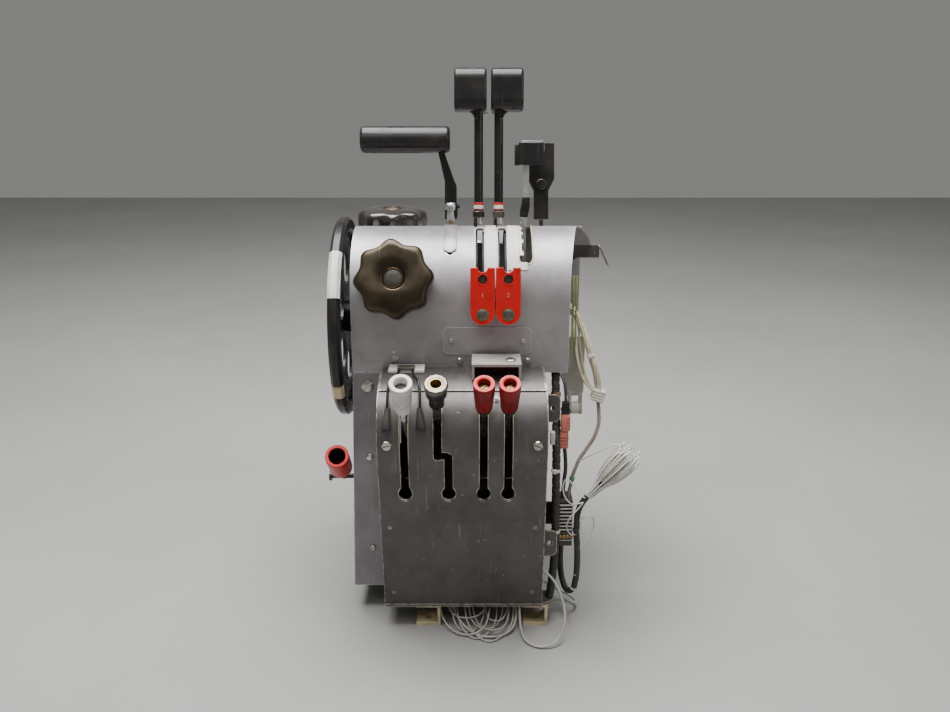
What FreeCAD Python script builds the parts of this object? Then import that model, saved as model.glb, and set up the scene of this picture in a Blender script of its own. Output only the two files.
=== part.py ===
"""Throttle quadrant: a floor-standing lever box with engine, airbrake, flap and trim controls.

Frame: millimetres, X to the right, Y away from the crew, Z up.
Origin: centre of the four foot bolts, on the surface that the feet stand on.
"""
import FreeCAD, Part
import Sketcher
import math
import os
from FreeCAD import Vector, Rotation, Placement

doc = FreeCAD.newDocument("throttle_quadrant")

# ---------------------------------------------------------------- sizes
sizes = {
    # feet and base
    "footSpanX": 110, "footSpanY": 235, "footWidth": 25, "footTall": 24, "footSheet": 3,
    "footHole": 6.6, "basePlate": 3, "baseOverhang": 14, "basePad": 13,
    # lower body: frame plates and drum panel
    "bodyLeft": 99, "bodyRight": 61.4, "framePlate": 2.5, "panelSheet": 1.6, "drumRadius": 52,
    "drumY": 117, "drumZ": 215.3, "panelSlope": 11.5, "bodyRear": 130, "stripSheet": 1.5,
    "stripStart": 59, "stripInset": 1.5, "cornerRound": 6,
    # upper body: shelf, cover and deck
    "shelfZ": 263, "shelfSheet": 3, "coverLeft": 127.9, "coverRight": 84.9, "coverSheet": 2,
    "coverRadius": 65, "coverY": 30, "coverZ": 331.5, "deckRise": 39, "flareMidX": 97,
    "flareMidY": 11, "flareRearX": 117,
    # left side box
    "sideFlare": 6, "sideSheet": 1.5,
    # shafts and fits
    "shaftRadius": 5, "runningFit": 0.05, "hubRadius": 11, "spacerRadius": 8, "endPlay": 0.2,
    "armSheet": 4, "bearingPlate": 3, "bearingX": 79, "bearingRound": 18, "gap": 0.3,
    # throttles
    "throttleX1": -3.3, "throttleX2": 17, "throttleRest": -10, "throttleShaft": 9.2,
    "throttleCollar": 12, "collarGap": 7, "collarTall": 12, "throttleReach": 107,
    "throttleHeadTall": 43, "throttleHeadWide": 32.4, "throttleHeadDeep": 30, "throttleHeadShift": 8.3,
    "throttleHeadRound": 12, "headEdge": 3, "neckRound": 7, "bladeTip": 9,
    "throttleSlot": 11, "throttleSlotFrom": 94, "throttleSlotTo": 146,
    # high-pressure cocks
    "fuelX1": -2.2, "fuelX2": 19.8, "fuelRest": 81.4, "fuelPadX1": 0.3, "fuelPadX2": 24.7, "fuelPadWide": 23.5,
    "fuelPadTall": 54, "fuelPadDeep": 12, "fuelPadGap": 5, "fuelSlot": 8.5, "fuelSlotFrom": 2, "fuelSlotTo": 80,
    # airbrake
    "airbrakeX": -31.5, "airbrakeRest": -6, "airbrakeGripZ": 151, "airbrakeGripRadius": 13.4,
    "airbrakeGripLeft": 121.5, "airbrakeGripRight": 32, "airbrakeBar": 7, "airbrakeArm": 12,
    "airbrakeBend": 38, "airbrakeNeck": 6.2, "airbrakeOffset": 9, "gripEdge": 4,
    "gateWide": 13.5, "gateSlot": 6.5, "gateFrom": 47, "gateTo": 103,
    # flap lever
    "flapX": 42.5, "flapRest": -7, "flapBlade": 6, "flapKnobZ": 126, "flapKnobTall": 23,
    "flapKnobWide": 25, "flapKnobDeep": 14, "flapKnobX": 49.4, "flapGateWide": 13,
    "flapGateFrom": 41, "flapGateTo": 103,
    # wheel brake lever
    "brakeX": 61, "brakeRest": -18.8, "brakeShaft": 15, "brakeHeadWide": 27.4, "brakeHeadFrom": 110,
    "brakeHeadTo": 151, "brakeDeep": 8, "brakeSlotFrom": 101, "brakeSlotTo": 146,
    # lower levers
    "lowerRest": 58, "gripLean": 33, "gripGap": 5, "gripLong": 45, "gripRadius": 10, "gripRoot": 7.8, "boreDepth": 9, "gripBore": 5.5,
    "lpX1": 1.2, "lpX2": 24.5, "whiteX": -73.5, "blackX": -42, "lowerBlade": 10, "lowerSlot": 7.6,
    "lowerSlotFrom": -52, "lowerSlotTo": 55, "slotEye": 13, "zGateX": -32, "zGateZ": 204,
    # knobs and wheel
    "knobRadius": 38.5, "knobThick": 26, "knobFoot": 3, "knobStem": 12, "knobLobe": 7, "knobWaist": 34,
    "knobLobes": 8, "knobCap": 10, "knobEdge": 3, "knobDish": 5, "aileronX": -84, "aileronTilt": 70, "rudderX": -99,
    "rudderY": 79, "wheelRadius": 103, "wheelY": -20, "wheelZ": 301, "wheelRim": 12,
    "wheelRimDeep": 15, "wheelWeb": 3, "wheelGap": 7.6, "axleRadius": 6, "wheelHub": 16,
    # side pull handle
    "pullRadius": 12, "pullBore": 8.5, "pullLong": 54, "pullSocket": 8, "pullY": -72, "pullZ": 142,
    "pullLean": 48, "pullPin": 2.5,
    # plates, guards and fasteners
    "switchWide": 87.5, "switchTall": 27.5, "switchX": 4.8, "switchZ": 295.6, "switchRaise": 1,
    "labelX": 32.6, "labelWide": 6, "labelFrom": 30, "labelTo": 96, "labelRaise": 0.8,
    "guardLeft": -10, "guardRight": 37, "guardTop": 284, "guardSheet": 2.5, "guardFront": 136,
    "guardBack": 101, "bailWire": 2.6, "bailHalf": 15.2, "bailPad": 5,
    "bailFoot": 25, "bailHead": 66, "bailReach": 72, "screwHead": 5, "screwTall": 2,
    "bigScrew": 6, "lugReach": 14, "lugTall": 28, "lugSheet": 2, "lugSpan": 144, "lugZ": 93,
    "lugY": 128, "lugHole": 5.2,
    # brackets on the open right end
    "gussetLeft": 82, "gussetRight": 126, "gussetDrop": 14, "gussetFoot": 34, "gussetSheet": 1.6,
    "lipLong": 23, "lipLean": 25, "lipDeep": 14, "sidePlateRight": 104.5, "sidePlateY": 60,
    "sidePlateTop": 290, "sidePlateFoot": 227, "clevisDrop": 22, "clevisSheet": 3, "rollerRadius": 7,
    "rollerLong": 7.5, "rollerPin": 2.5,
    # electrics on the right side
    "harnessBore": 8.5, "loomBore": 6.5, "leadBore": 3.2, "wireBore": 2.4, "plugWires": 6,
    "terminalGap": 11.6, "terminalWide": 17, "terminalZ": 82, "terminalTall": 50, "terminalDeep": 24,
    "terminalY": 112, "ribCount": 9, "ribSheet": 1.6, "ribDepth": 1.5, "redPlugX": 82.5,
    "redPlugZ": 187, "redPlugLong": 37, "redPlugRadius": 5, "redPlugY": 106,
    "creamPlug": 13, "creamPlugX": 118, "creamPlugY": 75, "creamPlugZ": 226, "redLead": 4,
    "hankX": 106, "hankY": 119, "hankZ": 141, "hankThin": 6, "hankThick": 14, "hankLong": 70,
    "hankLean": 41.7,
}


class Size:
    """A number together with the sheet expression that it comes from."""

    def __init__(self, number, text):
        self.number = float(number)
        self.text = text

    def __add__(self, other):
        return Size(self.number + number(other), f"({self.text} + {text(other)})")

    def __radd__(self, other):
        return as_size(other) + self

    def __sub__(self, other):
        return Size(self.number - number(other), f"({self.text} - {text(other)})")

    def __rsub__(self, other):
        return as_size(other) - self

    def __mul__(self, other):
        return Size(self.number * number(other), f"({self.text} * {text(other)})")

    def __rmul__(self, other):
        return self * other

    def __truediv__(self, other):
        return Size(self.number / number(other), f"({self.text} / {text(other)})")

    def __neg__(self):
        return Size(-self.number, f"(0 - {self.text})")


def as_size(value):
    return value if isinstance(value, Size) else Size(value, f"({value})")


def number(value):
    return as_size(value).number


def text(value):
    return as_size(value).text


def sin(angle):
    return Size(math.sin(math.radians(number(angle))), f"sin({text(angle)})")


def cos(angle):
    return Size(math.cos(math.radians(number(angle))), f"cos({text(angle)})")


def tan(angle):
    return Size(math.tan(math.radians(number(angle))), f"tan({text(angle)})")


def root(value):
    return Size(math.sqrt(number(value)), f"sqrt({text(value)})")


class Sheet:
    """Writes the sizes into a spreadsheet and gives each back as a Size."""

    def __init__(self, values):
        sheet = doc.addObject("Spreadsheet::Sheet", "Sizes")
        for row, (name, value) in enumerate(values.items(), 1):
            sheet.set(f"A{row}", name)
            sheet.set(f"B{row}", str(value))
            sheet.setAlias(f"B{row}", name)
            setattr(self, name, Size(value, f"Sizes.{name}"))
        doc.recompute()


s = Sheet(sizes)


# ---------------------------------------------------------------- building helpers
def bind(thing, path, value):
    thing.setExpression(path, text(value))


def place(thing, x=0, y=0, z=0, axis=None, angle=0):
    """Puts a thing at a place, turned by an angle about an axis."""
    thing.Placement = Placement(Vector(number(x), number(y), number(z)),
                                Rotation(axis or Vector(0, 0, 1), number(angle)))
    for path, value in (("x", x), ("y", y), ("z", z)):
        bind(thing, f"Placement.Base.{path}", value)
    if isinstance(angle, Size):
        bind(thing, "Placement.Rotation.Angle", angle)
    return thing


def box(name, low, span):
    thing = doc.addObject("Part::Box", name)
    for path, value in zip(("Length", "Width", "Height"), span):
        bind(thing, path, value)
    return place(thing, *low)


TURN = {"Z": (Vector(0, 0, 1), 0), "X": (Vector(0, 1, 0), 90), "Y": (Vector(1, 0, 0), -90)}


def rod(name, radius, long, at, along="Z"):
    """A cylinder that starts at a point and runs along +X, +Y or +Z."""
    thing = doc.addObject("Part::Cylinder", name)
    bind(thing, "Radius", radius)
    bind(thing, "Height", long)
    return place(thing, *at, *TURN[along])


def fuse(name, shapes):
    thing = doc.addObject("Part::MultiFuse", name)
    thing.Shapes = shapes
    return thing


def group(name, shapes):
    """Separate solids that travel together in one file."""
    thing = doc.addObject("Part::Compound", name)
    thing.Links = shapes
    return thing


def cut(name, base, tools):
    thing = doc.addObject("Part::Cut", name)
    thing.Base = base
    thing.Tool = tools[0] if len(tools) == 1 else fuse(name + "_cutters", tools)
    return thing


def new_body(name):
    return doc.addObject("PartDesign::Body", name)


def sketch(body, role, loops, offset=0):
    """Draws closed loops on one of the body's own planes, each corner tied to the sheet.

    A loop is a list of corners (across, up). ("arc", across, up, sense) between two corners
    makes their edge an arc about that centre, and ("circle", across, up, radius) is a loop.
    """
    plane = [f for f in body.Origin.OriginFeatures if f.Role == role + "_Plane"][0]
    drawing = body.newObject("Sketcher::SketchObject", body.Name + "_sketch")
    drawing.AttachmentSupport = [(plane, "")]
    drawing.MapMode = "FlatFace"
    bind(drawing, "AttachmentOffset.Base.z", offset)
    for loop in loops:
        if loop[0] == "circle":
            draw_circle(drawing, *loop[1:])
        else:
            draw_loop(drawing, loop)
    return drawing


def tie(drawing, kind, edge, end, value):
    index = drawing.addConstraint(Sketcher.Constraint(kind, -1, 1, edge, end, number(value)))
    if isinstance(value, Size):
        drawing.setExpression(f"Constraints[{index}]", value.text)


def draw_circle(drawing, across, up, radius):
    circle = Part.Circle(Vector(number(across), number(up), 0), Vector(0, 0, 1), number(radius))
    edge = drawing.addGeometry(circle)
    tie(drawing, "DistanceX", edge, 3, across)
    tie(drawing, "DistanceY", edge, 3, up)
    index = drawing.addConstraint(Sketcher.Constraint("Radius", edge, number(radius)))
    drawing.setExpression(f"Constraints[{index}]", text(radius))


def draw_loop(drawing, loop):
    corners = [item for item in loop if item[0] != "arc"]
    ends = []
    for position, item in enumerate(loop):
        if item[0] == "arc":
            continue
        after = loop[(position + 1) % len(loop)]
        here = Vector(number(item[0]), number(item[1]), 0)
        target = corners[(len(ends) + 1) % len(corners)]
        there = Vector(number(target[0]), number(target[1]), 0)
        if after[0] != "arc":
            ends.append((drawing.addGeometry(Part.LineSegment(here, there)), 1, 2, None))
            continue
        centre = Vector(number(after[1]), number(after[2]), 0)
        first, last = (here, there) if after[3] > 0 else (there, here)
        circle = Part.Circle(centre, Vector(0, 0, 1), (here - centre).Length)
        angles = [math.atan2(p.y - centre.y, p.x - centre.x) for p in (first, last)]
        edge = drawing.addGeometry(Part.ArcOfCircle(circle, *angles))
        ends.append((edge, 1, 2, after) if after[3] > 0 else (edge, 2, 1, after))
        chord = there - here
        if abs(chord.y) > abs(chord.x):
            tie(drawing, "DistanceX", edge, 3, after[1])
        else:
            tie(drawing, "DistanceY", edge, 3, after[2])
    for index, (edge, start, end, _) in enumerate(ends):
        following = ends[(index + 1) % len(ends)]
        drawing.addConstraint(Sketcher.Constraint("Coincident", edge, end, following[0], following[1]))
        tie(drawing, "DistanceX", edge, start, corners[index][0])
        tie(drawing, "DistanceY", edge, start, corners[index][1])


def pad(body, drawing, length, middle=False, back=False):
    feature = body.newObject("PartDesign::Pad", body.Name + "_pad")
    feature.Profile = drawing
    bind(feature, "Length", length)
    feature.Midplane = middle
    feature.Reversed = back
    return feature


def pocket(body, drawing, length=None, back=False):
    """Cuts to a depth, or right through in both directions."""
    feature = body.newObject("PartDesign::Pocket", body.Name + "_pocket")
    feature.Profile = drawing
    feature.Reversed = back
    if length is None:
        feature.Type = "ThroughAll"
        feature.Midplane = True
    else:
        bind(feature, "Length", length)
    return feature


def revolve(body, drawing, axis="V_Axis"):
    feature = body.newObject("PartDesign::Revolution", body.Name + "_revolution")
    feature.Profile = drawing
    feature.ReferenceAxis = (drawing, [axis])
    feature.Angle = 360
    return feature


def around(body, feature, count):
    """Repeats a feature around the body's Z axis."""
    line = [f for f in body.Origin.OriginFeatures if f.Role == "Z_Axis"][0]
    pattern = body.newObject("PartDesign::PolarPattern", body.Name + "_pattern")
    pattern.Originals = [feature]
    pattern.Axis = (line, [""])
    pattern.Angle = 360
    pattern.Occurrences = count
    body.Tip = pattern
    return pattern


def slot_tool(name, x, width, radius, pivot, start, stop, eye=None):
    """A cutter for an arc slot with round ends, in a wall bent about an X axis pivot.

    Angles run up from the crew's side. The eye is a wider round hole at the slot's first end.
    """
    wedge = doc.addObject("Part::Cylinder", name + "_wedge")
    bind(wedge, "Radius", radius)
    bind(wedge, "Height", width)
    bind(wedge, "Angle", as_size(stop) - start)
    turn = Rotation(Vector(0, 1, 0), Vector(0, 0, 1), Vector(1, 0, 0), "ZXY")
    wedge.Placement = Placement(Vector(), turn)
    holder = doc.addObject("Part::Compound", name + "_turned")
    holder.Links = [wedge]
    place(holder, x - width / 2, pivot[0], pivot[1], Vector(1, 0, 0), as_size(180) - stop)
    pieces = [holder]
    for end, bore in ((start, eye or width / 2), (stop, width / 2)):
        hole = doc.addObject("Part::Cylinder", name + "_end")
        bind(hole, "Radius", bore)
        bind(hole, "Height", radius)
        pieces.append(place(hole, x, pivot[0], pivot[1], Vector(1, 0, 0), as_size(90) - end))
    return fuse(name, pieces)


nodes = {}


def keep(name, thing):
    """Registers a finished sub-part under its node name."""
    thing.Label = name
    nodes[name] = thing
    return thing


def tube_path(points):
    """Straight runs joined by tangent arcs, as large as the shorter run at each turn allows."""
    knots = [Vector(*p) for p in points]
    edges = []
    start = knots[0]
    radii = []
    for before, here, after in zip(knots, knots[1:], knots[2:]):
        back = (before - here).normalize()
        ahead = (after - here).normalize()
        turn = math.pi - back.getAngle(ahead)
        reach = 0.45 * min((before - here).Length, (after - here).Length)
        radius = reach / math.tan(turn / 2)
        first = here + back * reach
        last = here + ahead * reach
        centre = here + (back + ahead).normalize() * (radius / math.cos(turn / 2))
        middle = centre + (here - centre).normalize() * radius
        edges += [Part.LineSegment(start, first).toShape(), Part.Arc(first, middle, last).toShape()]
        radii.append(round(radius, 1))
        start = last
    edges.append(Part.LineSegment(start, knots[-1]).toShape())
    return Part.Wire(edges), radii


def tube(name, points, bore):
    """A plain round cord along a route."""
    route, radii = tube_path(points)
    first = Vector(*points[0])
    heading = (Vector(*points[1]) - first).normalize()
    ring = Part.Wire(Part.Circle(first, heading, number(bore) / 2).toShape())
    thing = doc.addObject("Part::Feature", name)
    thing.Shape = route.makePipeShell([ring], True, False)
    wanted = math.pi * (number(bore) / 2) ** 2 * route.Length
    print(name, "length", round(route.Length), "volume share", round(thing.Shape.Volume / wanted, 4),
          "bend radii", radii)
    return thing


# ---------------------------------------------------------------- shared places
upper = (-s.coverY, s.coverZ)      # Y and Z of the upper lever shaft
lower = (-s.drumY, s.drumZ)        # Y and Z of the lower lever shaft
base_top = s.footTall + s.basePlate
bore = s.shaftRadius + s.runningFit
collar_z = s.coverRadius + s.collarGap        # the upper arms leave the cover here
collar_top = collar_z + s.collarTall
head_z = collar_z + s.throttleReach
fuel_pad_z = s.coverRadius + s.fuelPadGap
grip_from = s.drumRadius + s.gripGap
grip_to = grip_from + s.gripLong


def drum_edge(radius):
    """The drum wall at a radius: foot, start of the curve, crest and rear end of the top."""
    start = (lower[0] - radius * cos(s.panelSlope), lower[1] - radius * sin(s.panelSlope))
    foot = (start[0] + (start[1] - base_top) * tan(s.panelSlope), base_top)
    crest = (lower[0], lower[1] + radius)
    back = (-(s.coverY + s.coverRadius) - s.gap, lower[1] + radius)
    return foot, start, crest, back


def cover_edge(inset):
    """The cover's wall at an inset: front foot, spring of the arch, deck line and rear foot."""
    radius = s.coverRadius - inset
    rise = s.deckRise - inset
    foot = (upper[0] - radius, s.shelfZ)
    spring = (upper[0] - radius, upper[1])
    deck = (upper[0] + root(radius * radius - rise * rise), upper[1] + rise)
    corner = (s.bodyRear - inset, upper[1] + rise)
    rear = (s.bodyRear - inset, s.shelfZ)
    return foot, spring, deck, corner, rear


# ---------------------------------------------------------------- base and frame
def make_base():
    width = s.bodyLeft + s.bodyRight
    depth = s.bodyRear * 2 + s.panelSheet * 2
    plate = box("base_sheet", (-s.bodyLeft, -s.bodyRear - s.panelSheet * 2, s.footTall),
                (width, depth, s.basePlate))
    round_ear = rod("base_ear", s.basePad, s.basePlate, (s.footSpanX / 2 + s.footWidth / 4,
                    -s.footSpanY / 2, s.footTall))
    rear_ear = rod("base_ear_rear", s.basePad, s.basePlate, (s.footSpanX / 2 + s.footWidth / 4,
                   s.footSpanY / 2, s.footTall))
    holes = [rod("base_hole", s.footHole / 2, s.basePlate, (x, y, s.footTall))
             for x, y in foot_places()]
    opening = box("base_window", (-s.bodyLeft / 2, -s.footSpanY / 4, s.footTall),
                  ((s.bodyLeft + s.bodyRight) / 2, s.footSpanY / 2, s.basePlate))
    keep("base_plate", cut("base_plate", fuse("base_outline", [plate, round_ear, rear_ear]),
                           holes + [opening]))


def foot_places():
    return [(x * s.footSpanX / 2, y * s.footSpanY / 2) for y in (-1, 1) for x in (-1, 1)]


def make_feet():
    names = ("front_left", "front_right", "rear_left", "rear_right")
    for name, (x, y) in zip(names, foot_places()):
        body = new_body("foot_" + name)
        half, tall, sheet = s.footWidth / 2, s.footTall, s.footSheet
        channel = [(-half, 0), (half, 0), (half, tall), (-half, tall), (-half, tall - sheet),
                   (half - sheet, tall - sheet), (half - sheet, sheet), (-half, sheet)]
        channel = [(across, as_size(up)) for across, up in channel]
        pad(body, sketch(body, "XZ", [channel]), s.footWidth, middle=True)
        pocket(body, sketch(body, "XY", [("circle", 0, 0, s.footHole / 2)]))
        keep("foot_" + name, place(body, x, y, 0))


def make_frame_plates():
    foot, start, crest, back = drum_edge(s.drumRadius - s.panelSheet)
    outline = [foot, start, ("arc", lower[0], lower[1], -1), crest, back,
               (back[0], s.shelfZ), (s.bodyRear - s.panelSheet, s.shelfZ),
               (s.bodyRear - s.panelSheet, base_top)]
    for side, x in (("left", -s.bodyLeft), ("right", s.bodyRight - s.framePlate)):
        body = new_body("frame_plate_" + side)
        pad(body, sketch(body, "YZ", [outline, ("circle", lower[0], lower[1], bore)], x), s.framePlate)
        keep("frame_plate_" + side, body)


def make_shelf():
    left = s.coverLeft - s.coverSheet
    right = s.bearingX + s.bearingPlate
    front, rear = s.coverY + s.coverRadius - s.coverSheet, s.bodyRear - s.coverSheet
    plate = box("shelf_sheet", (-left, -front, s.shelfZ), (left + right, front + rear, s.shelfSheet))
    window = box("shelf_window", (-s.bodyLeft / 2, upper[0] + s.hubRadius, s.shelfZ),
                 (s.bodyLeft, s.bodyRear / 2, s.shelfSheet))
    keep("mid_shelf", cut("mid_shelf", plate, [window]))


def make_cover_plates():
    foot, spring, deck, corner, rear = cover_edge(s.coverSheet)
    floor = s.shelfZ + s.shelfSheet
    outline = [(foot[0], s.shelfZ), spring, ("arc", upper[0], upper[1], -1), deck, corner,
               (rear[0], s.shelfZ)]
    body = new_body("end_plate_left")
    holes = ("circle", upper[0], upper[1], bore)
    pad(body, sketch(body, "YZ", [outline, holes], -s.coverLeft), s.coverSheet)
    keep("end_plate_left", body)
    body = new_body("bearing_plate")
    half = s.bearingRound
    outline = [(upper[0] - half * 2, floor), (upper[0] - half, upper[1]),
               ("arc", upper[0], upper[1], -1), (upper[0] + half, upper[1]),
               (upper[0] + half * 2, floor)]
    pad(body, sketch(body, "YZ", [outline, holes], s.bearingX), s.bearingPlate)
    keep("bearing_plate", body)


def make_rear_panel():
    body = new_body("rear_panel")
    outline = [(-s.bodyLeft, base_top), (s.bodyRight, base_top), (s.bodyRight, s.shelfZ),
               (-s.bodyLeft, s.shelfZ)]
    pad(body, sketch(body, "XZ", [outline], -s.bodyRear), s.panelSheet)
    keep("rear_panel", body)


# ---------------------------------------------------------------- skins
def lower_slots():
    """The four lever slots of the drum panel."""
    reach = s.drumRadius * 1.6
    tools = [slot_tool(f"drum_slot_{index}", x, s.lowerSlot, reach, lower, s.lowerSlotFrom,
                       s.lowerSlotTo, s.slotEye / 2)
             for index, x in enumerate((s.whiteX, s.lpX1, s.lpX2))]
    elbow = as_size(-14)
    tools.append(slot_tool("z_gate_upper", s.blackX, s.lowerSlot, reach, lower, elbow, s.lowerSlotTo))
    tools.append(slot_tool("z_gate_lower", s.zGateX, s.lowerSlot, reach, lower, s.lowerSlotFrom,
                           elbow, s.slotEye / 2))
    cross = box("z_gate_cross", (s.blackX, -s.drumY - reach, s.zGateZ - s.lowerSlot / 2),
                (s.zGateX - s.blackX, s.drumRadius, s.lowerSlot))
    return tools + [cross]


def make_lower_panel():
    foot, start, crest, back = drum_edge(s.drumRadius)
    foot2, start2, crest2, back2 = drum_edge(s.drumRadius - s.panelSheet)
    outline = [foot, start, ("arc", lower[0], lower[1], -1), crest, back, back2, crest2,
               ("arc", lower[0], lower[1], 1), start2, foot2]
    body = new_body("lower_panel_sheet")
    pad(body, sketch(body, "YZ", [outline], -s.bodyLeft), s.bodyLeft + s.bodyRight)
    keep("lower_panel", cut("lower_panel", body, lower_slots()))


def make_top_strip():
    radius = s.drumRadius + s.stripSheet
    left, right = s.bodyLeft - s.stripInset, s.bodyRight - s.stripInset

    def rim(r):
        return (lower[0] - r * cos(s.stripStart), lower[1] + r * sin(s.stripStart))

    back = -(s.coverY + s.coverRadius) - s.gap
    outline = [rim(radius), ("arc", lower[0], lower[1], -1), (lower[0], lower[1] + radius),
               (back, lower[1] + radius), (back, lower[1] + s.drumRadius),
               (lower[0], lower[1] + s.drumRadius), ("arc", lower[0], lower[1], 1), rim(s.drumRadius)]
    body = new_body("panel_top_strip")
    pad(body, sketch(body, "YZ", [outline], -left), left + right)
    keep("panel_top_strip", body)


def make_side_box():
    top, bottom = s.shelfZ, base_top
    left_top, left_foot = s.coverLeft, s.coverLeft + s.sideFlare
    sheet = s.sideSheet
    body = new_body("side_box")
    outline = [(-left_foot, bottom), (-s.bodyLeft, bottom), (-s.bodyLeft, top), (-left_top, top)]
    front = s.coverY + s.coverRadius
    pad(body, sketch(body, "XZ", [outline], -s.bodyRear), s.bodyRear + front)
    inner = [(-left_foot + sheet, bottom), (-s.bodyLeft, bottom), (-s.bodyLeft, top),
             (-left_top + sheet, top)]
    inside = sketch(body, "XZ", [inner], -s.bodyRear + sheet)
    pocket(body, inside, s.bodyRear + front - sheet * 2, back=True)
    keep("side_box", body)


def make_cover():
    foot, spring, deck, corner, rear = cover_edge(0)
    foot2, spring2, deck2, corner2, rear2 = cover_edge(s.coverSheet)
    outline = [foot, spring, ("arc", upper[0], upper[1], -1), deck, corner, rear, rear2, corner2,
               deck2, ("arc", upper[0], upper[1], 1), spring2, foot2]
    body = new_body("cover_sheet")
    pad(body, sketch(body, "YZ", [outline], -s.coverLeft), s.coverLeft + s.flareRearX)
    flare = [(s.coverRight, foot[0] - 1), (s.flareRearX + 1, foot[0] - 1),
             (s.flareRearX + 1, deck[0]), (s.flareRearX, deck[0]), (s.flareMidX, upper[0] + s.flareMidY),
             (s.coverRight, foot[0])]
    pocket(body, sketch(body, "XY", [flare]))
    reach = s.coverRadius * 1.3
    tools = []
    for index, x in enumerate((s.fuelX1, s.fuelX2)):
        tools.append(slot_tool(f"fuel_slot_{index}", x, s.fuelSlot, reach, upper, s.fuelSlotFrom, s.fuelSlotTo))
    for index, x in enumerate((s.throttleX1, s.throttleX2)):
        tools.append(slot_tool(f"throttle_slot_{index}", x, s.throttleSlot, reach, upper,
                               s.throttleSlotFrom, s.throttleSlotTo))
    tools.append(slot_tool("airbrake_slot", s.airbrakeX, s.gateSlot, reach, upper,
                           s.gateFrom, s.gateTo))
    tools.append(slot_tool("flap_slot", s.flapX, s.flapGateWide, reach, upper,
                           s.flapGateFrom, s.flapGateTo))
    tools.append(slot_tool("brake_slot", s.brakeX, s.brakeDeep, reach, upper,
                           s.brakeSlotFrom, s.brakeSlotTo))
    keep("upper_cover", cut("upper_cover", body, tools))


# ---------------------------------------------------------------- shafts
def make_shafts():
    keep("upper_shaft", rod("upper_shaft", s.shaftRadius, s.coverLeft + s.bearingX + s.bearingPlate,
                            (-s.coverLeft, upper[0], upper[1]), "X"))
    keep("lower_shaft", rod("lower_shaft", s.shaftRadius, s.bodyLeft + s.bodyRight,
                            (-s.bodyLeft, lower[0], lower[1]), "X"))


def upper_hubs():
    """Where each upper hub sits on its shaft: centre along X, left to right."""
    return [s.airbrakeX, throttle_arm_x(s.throttleX1), s.fuelX1, throttle_arm_x(s.throttleX2), s.fuelX2,
            s.flapX, s.brakeX]


def throttle_arm_x(x):
    return x - s.throttleShaft / 2 + s.armSheet / 2 - s.gap * 2


def spacers(name, hubs, first, last, pivot):
    """Tubes that keep the hubs apart along a shaft."""
    stops = [first] + [hub + sign * (s.armSheet / 2 + s.endPlay) for hub in hubs for sign in (-1, 1)]
    stops.append(last)
    pieces = []
    for index in range(0, len(stops), 2):
        start, stop = stops[index], stops[index + 1]
        if number(stop) - number(start) < 1:
            continue
        ring = rod(f"{name}_ring", s.spacerRadius, stop - start, (start, *pivot), "X")
        hole = rod(f"{name}_hole", bore, stop - start, (start, *pivot), "X")
        pieces.append(cut(f"{name}_piece", ring, [hole]))
    return pieces


def make_spacers():
    top = spacers("upper_spacer", upper_hubs(), s.coverSheet - s.coverLeft, s.bearingX, upper)
    low = spacers("lower_spacer", [s.whiteX, s.blackX, s.lpX1, s.lpX2], s.framePlate - s.bodyLeft,
                  s.bodyRight - s.framePlate, lower)
    keep("shaft_spacers", group("shaft_spacers", top + low))


# ---------------------------------------------------------------- levers
def arm(name, shift, reach, tip, slant=0):
    """A flat lever arm that stands on its pivot: a hub ring that tapers into a straight blade."""
    body = new_body(name)
    half = as_size(tip) / 2
    drop = half * tan(slant)
    outline = [(half, as_size(reach) + drop), (-half, as_size(reach) - drop), (-s.hubRadius, 0), ("arc", 0, 0, 1), (s.hubRadius, 0)]
    low = as_size(shift) - s.armSheet / 2
    pad(body, sketch(body, "YZ", [outline, ("circle", 0, 0, bore)], low), s.armSheet)
    return body


def stand(name, thing, x, pivot, rest):
    """Puts an upright lever piece on its shaft at its angle of rest."""
    return keep(name, place(thing, x, *pivot, Vector(1, 0, 0), rest))


def rounded(name, block, radius):
    """A block with all twelve edges rounded."""
    head = doc.addObject("Part::Fillet", name)
    head.Base = block
    doc.recompute()
    head.Edges = [(edge, radius, radius) for edge in range(1, 13)]
    return head


def round_sides(name, thing, radius):
    """Rounds the two outlines that close a form made along X."""
    head = doc.addObject("Part::Fillet", name)
    head.Base = thing
    doc.recompute()
    head.Edges = [(index, number(radius), number(radius))
                  for index, edge in enumerate(thing.Shape.Edges, 1) if edge.BoundBox.XLength < 0.001]
    return head


def throttle_head(name, side):
    """A hand grip that is round above and below, seen from the side."""
    d, r = s.throttleHeadDeep / 2, s.throttleHeadRound
    low, top = head_z, head_z + s.throttleHeadTall
    outline = [(-d + r, low), (d - r, low), ("arc", d - r, low + r, 1), (d, low + r), (d, top - r),
               ("arc", d - r, top - r, 1), (d - r, top), (-d + r, top), ("arc", -d + r, top - r, 1),
               (-d, top - r), (-d, low + r), ("arc", -d + r, low + r, 1)]
    body = new_body(name + "_form")
    pad(body, sketch(body, "YZ", [outline], side * s.throttleHeadShift - s.throttleHeadWide / 2),
        s.throttleHeadWide)
    doc.recompute()
    return round_sides(name, body, s.headEdge)


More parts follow.
